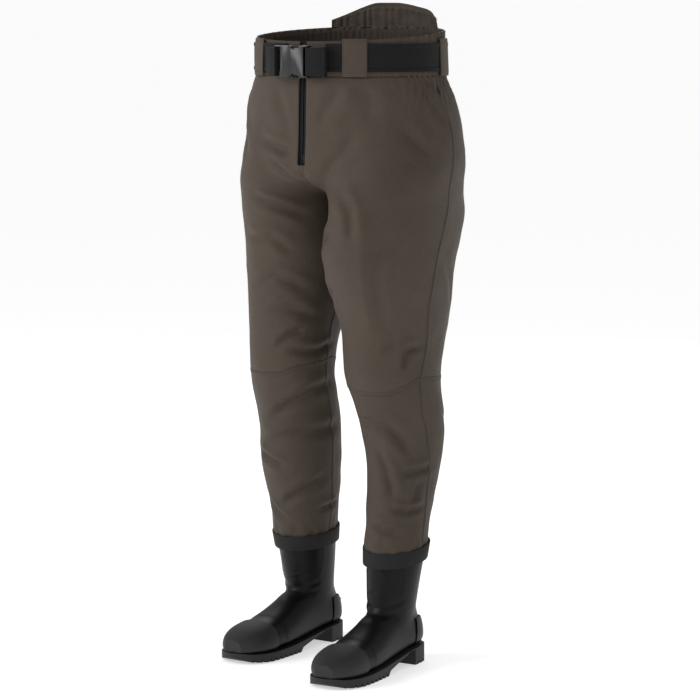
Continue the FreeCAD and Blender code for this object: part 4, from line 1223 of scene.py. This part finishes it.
class WADERS_OT_belt(bpy.types.Operator):
    """Make the belt, its loops and the webbing folded at the buckle"""
    bl_idname = "waders.belt"
    bl_label = "Belt and loops"

    def execute(self, context):
        tree = tree_of("belt_webbing")
        low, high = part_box("belt_webbing")
        height = (low.z + high.z) / 2 / MM
        width = (high.z - low.z) / MM
        angles = np.linspace(4, 364, 520)
        rows = strap_grid(tree, angles, height, belt_profile(width, 3.0))
        bm, grid = skin_rows(rows, closed=True)
        for ring in (grid[0], grid[-1]):
            bm.faces.new(ring)
        bmesh.ops.recalc_face_normals(bm, faces=bm.faces)
        belt = finish_piece(bm, "belt", finishes["webbing"])
        smooth_by_angle(belt, 50)
        stand_in(belt, "root", "webbing", "belt_webbing")
        for node in ("strap_fold_left", "strap_fold_right"):
            remade(node, "_webbing", "webbing", "webbing", 0.0006)
        remade("belt_keeper", "_band", "binding", "webbing", 0.0003)
        for name in sorted(n for n in NODES if n.startswith("belt_loop")):
            self.loop(name)
        return {"FINISHED"}

    @staticmethod
    def loop(node):
        """A belt loop of doubled cloth, stitched down above and below the belt."""
        low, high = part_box(node)
        centre = (low + high) / 2
        tree = tree_of(node)
        middle = ring_at(TRUNK_RINGS, centre.z / MM)
        across = Vector((centre.x - middle[0] * MM, centre.y - middle[1] * MM, 0))
        turn = math.degrees(math.atan2(across.x / middle[2], -across.y / middle[3]))
        angles = []
        for angle in np.linspace(turn - 14, turn + 14, 113):
            point, way = waist_turn(centre.z / MM, angle)
            if outer_hit(tree, point, way, centre.z / MM, (0,)) is not None:
                angles.append(angle)
        angles = np.linspace(angles[0] + 0.6, angles[-1] - 0.6, 22)
        rows = 30
        bottom, top = low.z / MM + 0.6, high.z / MM - 0.6
        grid = []
        for row in range(rows):
            height = bottom + (top - bottom) * row / (rows - 1)
            line = []
            for k, angle in enumerate(angles):
                point, way = waist_turn(height, angle)
                spot = outer_hit(tree, point, way, height, (0, 1, -1, 2, -2))
                if spot is None:
                    spot = outer_hit(tree, point, way, height, (3, -3, 5, -5, 8, -8))
                near = min(row, rows - 1 - row) / (rows - 1)
                pinch = 0.7 * (1 - float(smooth_step(near / 0.12)))
                puff = 0.5 * math.sin(math.pi * k / (len(angles) - 1))
                line.append(spot + way * (puff - pinch - 0.2) * MM)
            grid.append(line)
        piece = waist_cloth(node, node + "_cloth", "thigh_cloth", "ripstop", grid, angles,
                            [wall(0.0016), ("BEVEL", {"width": 0.0005, "segments": 2})], True)
        count = len(angles)
        lines = [(*run_of(rings_of(piece, count, row)), 0) for row in (1, 3, rows - 4, rows - 2)]
        for column in (1, count - 2):
            vertices = [piece.data.vertices[row * count + column] for row in range(rows)]
            lines.append((*run_of(vertices), 0))
        waist_stitches(node + "_stitches", lines)


class WADERS_OT_buckle(bpy.types.Operator):
    """Make the side-release buckle with rolled edges"""
    bl_idname = "waders.buckle"
    bl_label = "Buckle"

    def execute(self, context):
        radius = context.scene.wader_sizes.buckle_edge
        for node in ("buckle_female", "buckle_male", "buckle_arm_upper", "buckle_arm_lower"):
            remade(node, "_moulding", "buckle", "buckle_plastic", radius)
        return {"FINISHED"}


# ---------------------------------------------------------------- fly

class WADERS_OT_fly(bpy.types.Operator):
    """Make the zip's tapes, coils, slider, pull, stop and the gusset behind it"""
    bl_idname = "waders.fly"
    bl_label = "Fly"

    def execute(self, context):
        for node in ("zip_tape_left", "zip_tape_right"):
            remade(node, "_woven", "zip_tape", "zip_tape", 0.0002, 1)
        for node in ("zip_coil_left", "zip_coil_right"):
            self.coil(node)
        for node in ("zip_slider", "zip_pull", "zip_bottom_stop"):
            remade(node, "_cast", "zip_metal", "zip_metal", 0.0002)
        gusset = remade("fly_gusset", "_cloth", "thigh_cloth", "ripstop", 0.0003, 1)
        return {"FINISHED"}

    @staticmethod
    def coil(node):
        """A nylon coil: a round thread wound along the tape's edge."""
        points = np.array([v.co for v in NODES[node].data.vertices])
        top = Vector(points[points[:, 2] > points[:, 2].max() - 0.004].mean(0))
        foot = Vector(points[points[:, 2] < points[:, 2].min() + 0.004].mean(0))
        along = foot - top
        pitch, half_width, half_depth, thread = 0.0016, 0.0010, 0.0009, 0.0003
        turns = int(along.length / pitch)
        ahead = along.normalized()
        across = Vector((1, 0, 0))
        inwards = across.cross(ahead).normalized()
        steps = 8
        rows = []
        for k in range(turns * steps + 1):
            turn = 2 * math.pi * k / steps
            centre = top + along * k / (turns * steps)
            out = across * math.cos(turn) * half_width + inwards * math.sin(turn) * half_depth
            spin = out.normalized()
            rows.append([centre + out + (spin * math.cos(a) + ahead * math.sin(a)) * thread
                         for a in (0, math.pi / 2, math.pi, 3 * math.pi / 2)])
        bm, grid = skin_rows(rows, closed=True)
        for ring in (grid[0], grid[-1]):
            bm.faces.new(ring)
        bmesh.ops.recalc_face_normals(bm, faces=bm.faces)
        piece = finish_piece(bm, node + "_wound", finishes["zip_coil"])
        stand_in(piece, "root", "zip_coil", node)


# ---------------------------------------------------------------- boots

# Each boot's ankle in plan, how far its toe turns out in degrees, and how far its shaft leans.
ANKLES = {"left": ((110, -36), 3, 14), "right": ((-110, 36), 1.6, -12)}
ANKLE_HEIGHT, SHAFT_TOP = 109, 207
FAN_AHEAD, FAN_HEIGHT = 75, 130
RING_POINTS = 96
CAST = 250


def foot_place(side, across, ahead, height):
    """A point of a boot's own frame in the row frame, in metres."""
    (ankle_x, ankle_y), toe_out, _ = ANKLES[side]
    turn = math.radians(toe_out * SIDES[side])
    x = across * math.cos(turn) + ahead * math.sin(turn)
    y = across * math.sin(turn) - ahead * math.cos(turn)
    return Vector((ankle_x - FOOTPRINT_MIDDLE[0] + x, ankle_y - FOOTPRINT_MIDDLE[1] + y,
                   height)) * MM


def foot_rings(side):
    """The middle and the outward slope (ahead, up) of every ring from the top to the toe."""
    lean = ANKLES[side][2]
    rings = []
    for height in np.linspace(SHAFT_TOP, FAN_HEIGHT + 3, 26):
        rings.append((-lean * (height - ANKLE_HEIGHT) / 97, height, -1.0, 0.0))
    for turn in np.radians(np.linspace(0, 90, 34)):
        rings.append((FAN_AHEAD * (1 - math.cos(turn)), FAN_HEIGHT - FAN_AHEAD * math.sin(turn),
                      -math.cos(turn), -math.sin(turn)))
    for ahead in np.linspace(FAN_AHEAD + 3, 219.5, 50):
        drop = float(smooth_step((ahead - 110) / 110))
        rings.append((ahead, FAN_HEIGHT - FAN_AHEAD - 25 * drop, 0.0, -1.0))
    return rings


def line_field(around, height, run, width):
    """1 on a line of (degrees, height) corners, falling to 0 beside it."""
    nearest = np.full(len(around), 1e9)
    for (a0, h0), (a1, h1) in zip(run, run[1:]):
        way = np.array([(a1 - a0) * 0.87, h1 - h0])
        off_x, off_y = (around - a0) * 0.87, height - h0
        reach = np.clip((off_x * way[0] + off_y * way[1]) / (way @ way), 0, 1)
        gap = np.hypot(off_x - reach * way[0], off_y - reach * way[1])
        nearest = np.minimum(nearest, gap)
    return np.exp(-(nearest / width) ** 2)


# Raised mould lines on a boot's shaft: degrees from the front towards the outside, and height.
MOULD_LINES = [
    [(-52, 186), (-20, 181), (12, 166), (34, 140), (44, 116)],
    [(-36, 132), (-6, 127), (24, 118)],
    [(62, 205), (66, 150), (58, 118), (72, 92)],
    [(-62, 205), (-66, 150), (-58, 118), (-72, 92)],
    [(180, 205), (180, 84)],
]


def boot_skin(side, finish):
    """The moulded rubber upper: rings fan from the shaft round the ankle to the toe."""
    tree = tree_of(f"{side}_boot_upper")
    rows = []
    for ahead, height, slope_ahead, slope_up in foot_rings(side):
        row = []
        origin = foot_place(side, 0, ahead, height)
        for k in range(RING_POINTS):
            turn = 2 * math.pi * k / RING_POINTS
            reach = CAST * math.cos(turn)
            tip = foot_place(side, CAST * math.sin(turn), ahead + reach * slope_ahead,
                             height + reach * slope_up)
            way = (origin - tip).normalized()
            spot = tree.ray_cast(tip, way, CAST * MM)[0]
            row.append(spot if spot is not None else origin.lerp(tip, 0.02))
        rows.append(row)
    bm, grid = skin_rows(rows, closed=True)
    end = bm.verts.new(foot_place(side, 0, 222.5, 28))
    for a, b in pairs_of(grid[-1], True):
        bm.faces.new((a, b, end))
    bmesh.ops.recalc_face_normals(bm, faces=bm.faces)
    soft = [v for ring in grid[8:84] for v in ring if v.co.z > 0.052]
    for _ in range(9):
        bmesh.ops.smooth_vert(bm, verts=soft, factor=0.5, use_axis_x=True, use_axis_y=True,
                              use_axis_z=True)
    bm.normal_update()
    shape_relief(bm, side)
    shaft = [f for f in bm.faces if f.calc_center_median().z > 0.14]
    face_outwards(bm, foot_place(side, 0, 0, 150), shaft)
    return finish_piece(bm, f"{side}_boot_skin", finish, modifiers=[wall(0.0024)])


def shape_relief(bm, side):
    """Raise the mould lines and crease the bend over the ankle."""
    ankle_x, ankle_y = ANKLES[side][0]
    points = np.array([v.co for v in bm.verts]) / MM
    x = points[:, 0] - ankle_x + FOOTPRINT_MIDDLE[0]
    y = points[:, 1] - ankle_y + FOOTPRINT_MIDDLE[1]
    height = points[:, 2]
    around = np.degrees(np.arctan2(x * SIDES[side], -y))
    on_shaft = smooth_step((height - 80) / 14) * (y > -70)
    moved = np.zeros(len(points))
    for run in MOULD_LINES:
        moved += 0.8 * line_field(around, height, run, 1.5) * on_shaft
        if run[0][0] == 180:
            moved += 0.8 * line_field(around + 360, height, run, 1.5) * on_shaft
    for run, depth in (([(-58, 113), (-20, 104), (24, 108), (60, 116)], 1.0),
                       ([(-50, 96), (-16, 90), (30, 95)], 0.8)):
        moved -= depth * line_field(around, height, run, 4.0)
        moved += 0.7 * depth * line_field(around, height + 8.0, run, 4.0)
    moved += 0.7 * noise_field(points, 60.0, 11) * on_shaft
    moved -= 0.8 * smooth_step((-y - 120) / 12) + 0.6 * smooth_step((y - 20) / 12) * (height < 90)
    for vertex, push in zip(bm.verts, moved):
        vertex.co = vertex.co + vertex.normal * push * MM
    bm.normal_update()


class WADERS_OT_boots(bpy.types.Operator):
    """Make the cuffs and finish the boots"""
    bl_idname = "waders.boots"
    bl_label = "Boots and cuffs"

    def execute(self, context):
        kept = {"toe_cap": "cap", "heel_counter": "boot", "outsole": "sole",
                "heel_block": "sole", "insole": "felt"}
        for side in SIDES:
            stand_in(boot_skin(side, finishes["boot"]), f"{side}_lower_leg", "boot_rubber",
                     f"{side}_boot_upper")
            for kind, finish in kept.items():
                for place in NODES[f"{side}_{kind}"].material_slots:
                    place.material = finishes[finish]
            remade(f"{side}_cuff_band", "_made", "cuff", "cuff_rubber", 0.0004)
            lining = remade(f"{side}_boot_lining", "_made", "lining", "lining", 0.0004)
        return {"FINISHED"}


# ---------------------------------------------------------------- stage

class WADERS_OT_stage(bpy.types.Operator):
    """Set the floor, the soft lights and the camera"""
    bl_idname = "waders.stage"
    bl_label = "Stage"

    def execute(self, context):
        scene = context.scene
        looks = scene.wader_looks
        bm = bmesh.new()
        bmesh.ops.create_grid(bm, x_segments=2, y_segments=2, size=3000)
        bmesh.ops.translate(bm, verts=bm.verts, vec=(0, 0, -0.0005))
        floor_finish = fresh_material("floor_paper", tuple(looks.floor_colour), 0.9)[0]
        shader = floor_finish.node_tree.nodes["Principled BSDF"]
        shader.inputs["Emission Color"].default_value = (1, 1, 1, 1)
        shader.inputs["Emission Strength"].default_value = looks.floor_glow
        shader.inputs["Specular IOR Level"].default_value = 0.1
        floor = finish_piece(bm, "floor", floor_finish, smooth=False)
        world = bpy.data.worlds.new("studio")
        scene.world = world
        world.use_nodes = True
        back = world.node_tree.nodes["Background"]
        back.inputs["Color"].default_value = (1, 1, 1, 1)
        back.inputs["Strength"].default_value = looks.surround
        lamps = [("key", (-2.2, -3.0, 2.4), 2.2, looks.key_power),
                 ("fill", (3.4, -2.6, 1.6), 2.6, looks.fill_power),
                 ("rim", (-1.6, 3.0, 2.6), 2.0, looks.rim_power)]
        aim = Vector((0, 0.05, 0.6))
        for name, place, size, power in lamps:
            light = bpy.data.lights.new(name, "AREA")
            light.shape = "SQUARE"
            light.size = size
            light.energy = power
            lamp = bpy.data.objects.new(name, light)
            lamp.location = place
            lamp.rotation_euler = (aim - Vector(place)).to_track_quat("-Z", "Y").to_euler()
            scene.collection.objects.link(lamp)
        camera = bpy.data.cameras.new("camera")
        camera.sensor_width = 36
        camera.lens = looks.camera_lens
        camera.clip_end = 6000
        eye = bpy.data.objects.new("camera", camera)
        eye.location = (2.8314, -4.1558, 1.130)
        target = Vector((-0.0046, 0.0482, 0.528))
        eye.rotation_euler = (target - eye.location).to_track_quat("-Z", "Y").to_euler()
        scene.collection.objects.link(eye)
        scene.camera = eye
        scene.view_settings.view_transform = "Standard"
        return {"FINISHED"}


# ---------------------------------------------------------------- panel and settings

class WaderSizes(bpy.types.PropertyGroup):
    """Sizes of the sewn parts"""
    cloth_wall: FloatProperty(name="Cloth", description="Thickness of the trouser cloth",
                              default=0.0012, min=0.0003, unit="LENGTH")
    hem_wall: FloatProperty(name="Waistband", description="Thickness of the doubled waistband",
                            default=0.0020, min=0.0005, unit="LENGTH")
    seam_width: FloatProperty(name="Seam width", description="Width of a flat-felled seam",
                              default=0.0085, min=0.002, unit="LENGTH")
    buckle_edge: FloatProperty(name="Buckle edge", description="Radius of the buckle's edges",
                               default=0.0008, min=0.0001, unit="LENGTH")


class WaderLooks(bpy.types.PropertyGroup):
    """Colours and lights"""
    cloth_colour: FloatVectorProperty(name="Cloth", description="Colour of the cloth",
                                      subtype="COLOR", default=linear(67, 56.5, 47), min=0, max=1)
    belt_colour: FloatVectorProperty(name="Belt", description="Colour of the belt",
                                     subtype="COLOR", default=linear(15, 15, 16), min=0, max=1)
    boot_colour: FloatVectorProperty(name="Boots", description="Colour of the boot rubber",
                                     subtype="COLOR", default=linear(9, 9, 10), min=0, max=1)
    floor_colour: FloatVectorProperty(name="Floor", description="Colour of the floor",
                                      subtype="COLOR", default=(0.92, 0.92, 0.92), min=0, max=1)
    surround: FloatProperty(name="Surround", description="Brightness all round", default=0.5)
    floor_glow: FloatProperty(name="Floor glow", description="Light of the paper", default=0.5)
    key_power: FloatProperty(name="Key", description="Power of the key light", default=75)
    fill_power: FloatProperty(name="Fill", description="Power of the fill light", default=10)
    rim_power: FloatProperty(name="Rim", description="Power of the light behind", default=25)
    camera_lens: FloatProperty(name="Lens", description="Focal length", default=153.0)


STEPS = (WADERS_OT_trousers, WADERS_OT_seams, WADERS_OT_waistband, WADERS_OT_belt,
         WADERS_OT_buckle, WADERS_OT_fly, WADERS_OT_boots, WADERS_OT_stage)


class WADERS_PT_panel(bpy.types.Panel):
    """Lists the steps that build the waders"""
    bl_idname = "WADERS_PT_panel"
    bl_label = "Waders"
    bl_space_type = "VIEW_3D"
    bl_region_type = "UI"
    bl_category = "Waders"

    def draw(self, context):
        for step in STEPS:
            self.layout.operator(step.bl_idname)


CLASSES = (WaderSizes, WaderLooks, *STEPS, WADERS_PT_panel)


def register():
    for kind in CLASSES:
        bpy.utils.register_class(kind)
    bpy.types.Scene.wader_sizes = PointerProperty(type=WaderSizes)
    bpy.types.Scene.wader_looks = PointerProperty(type=WaderLooks)


def unregister():
    del bpy.types.Scene.wader_looks
    del bpy.types.Scene.wader_sizes
    for kind in reversed(CLASSES):
        bpy.utils.unregister_class(kind)


def main():
    register()
    make_finishes()
    for step in STEPS:
        group, name = step.bl_idname.split(".")
        getattr(getattr(bpy.ops, group), name)()


if __name__ == "__main__":
    main()
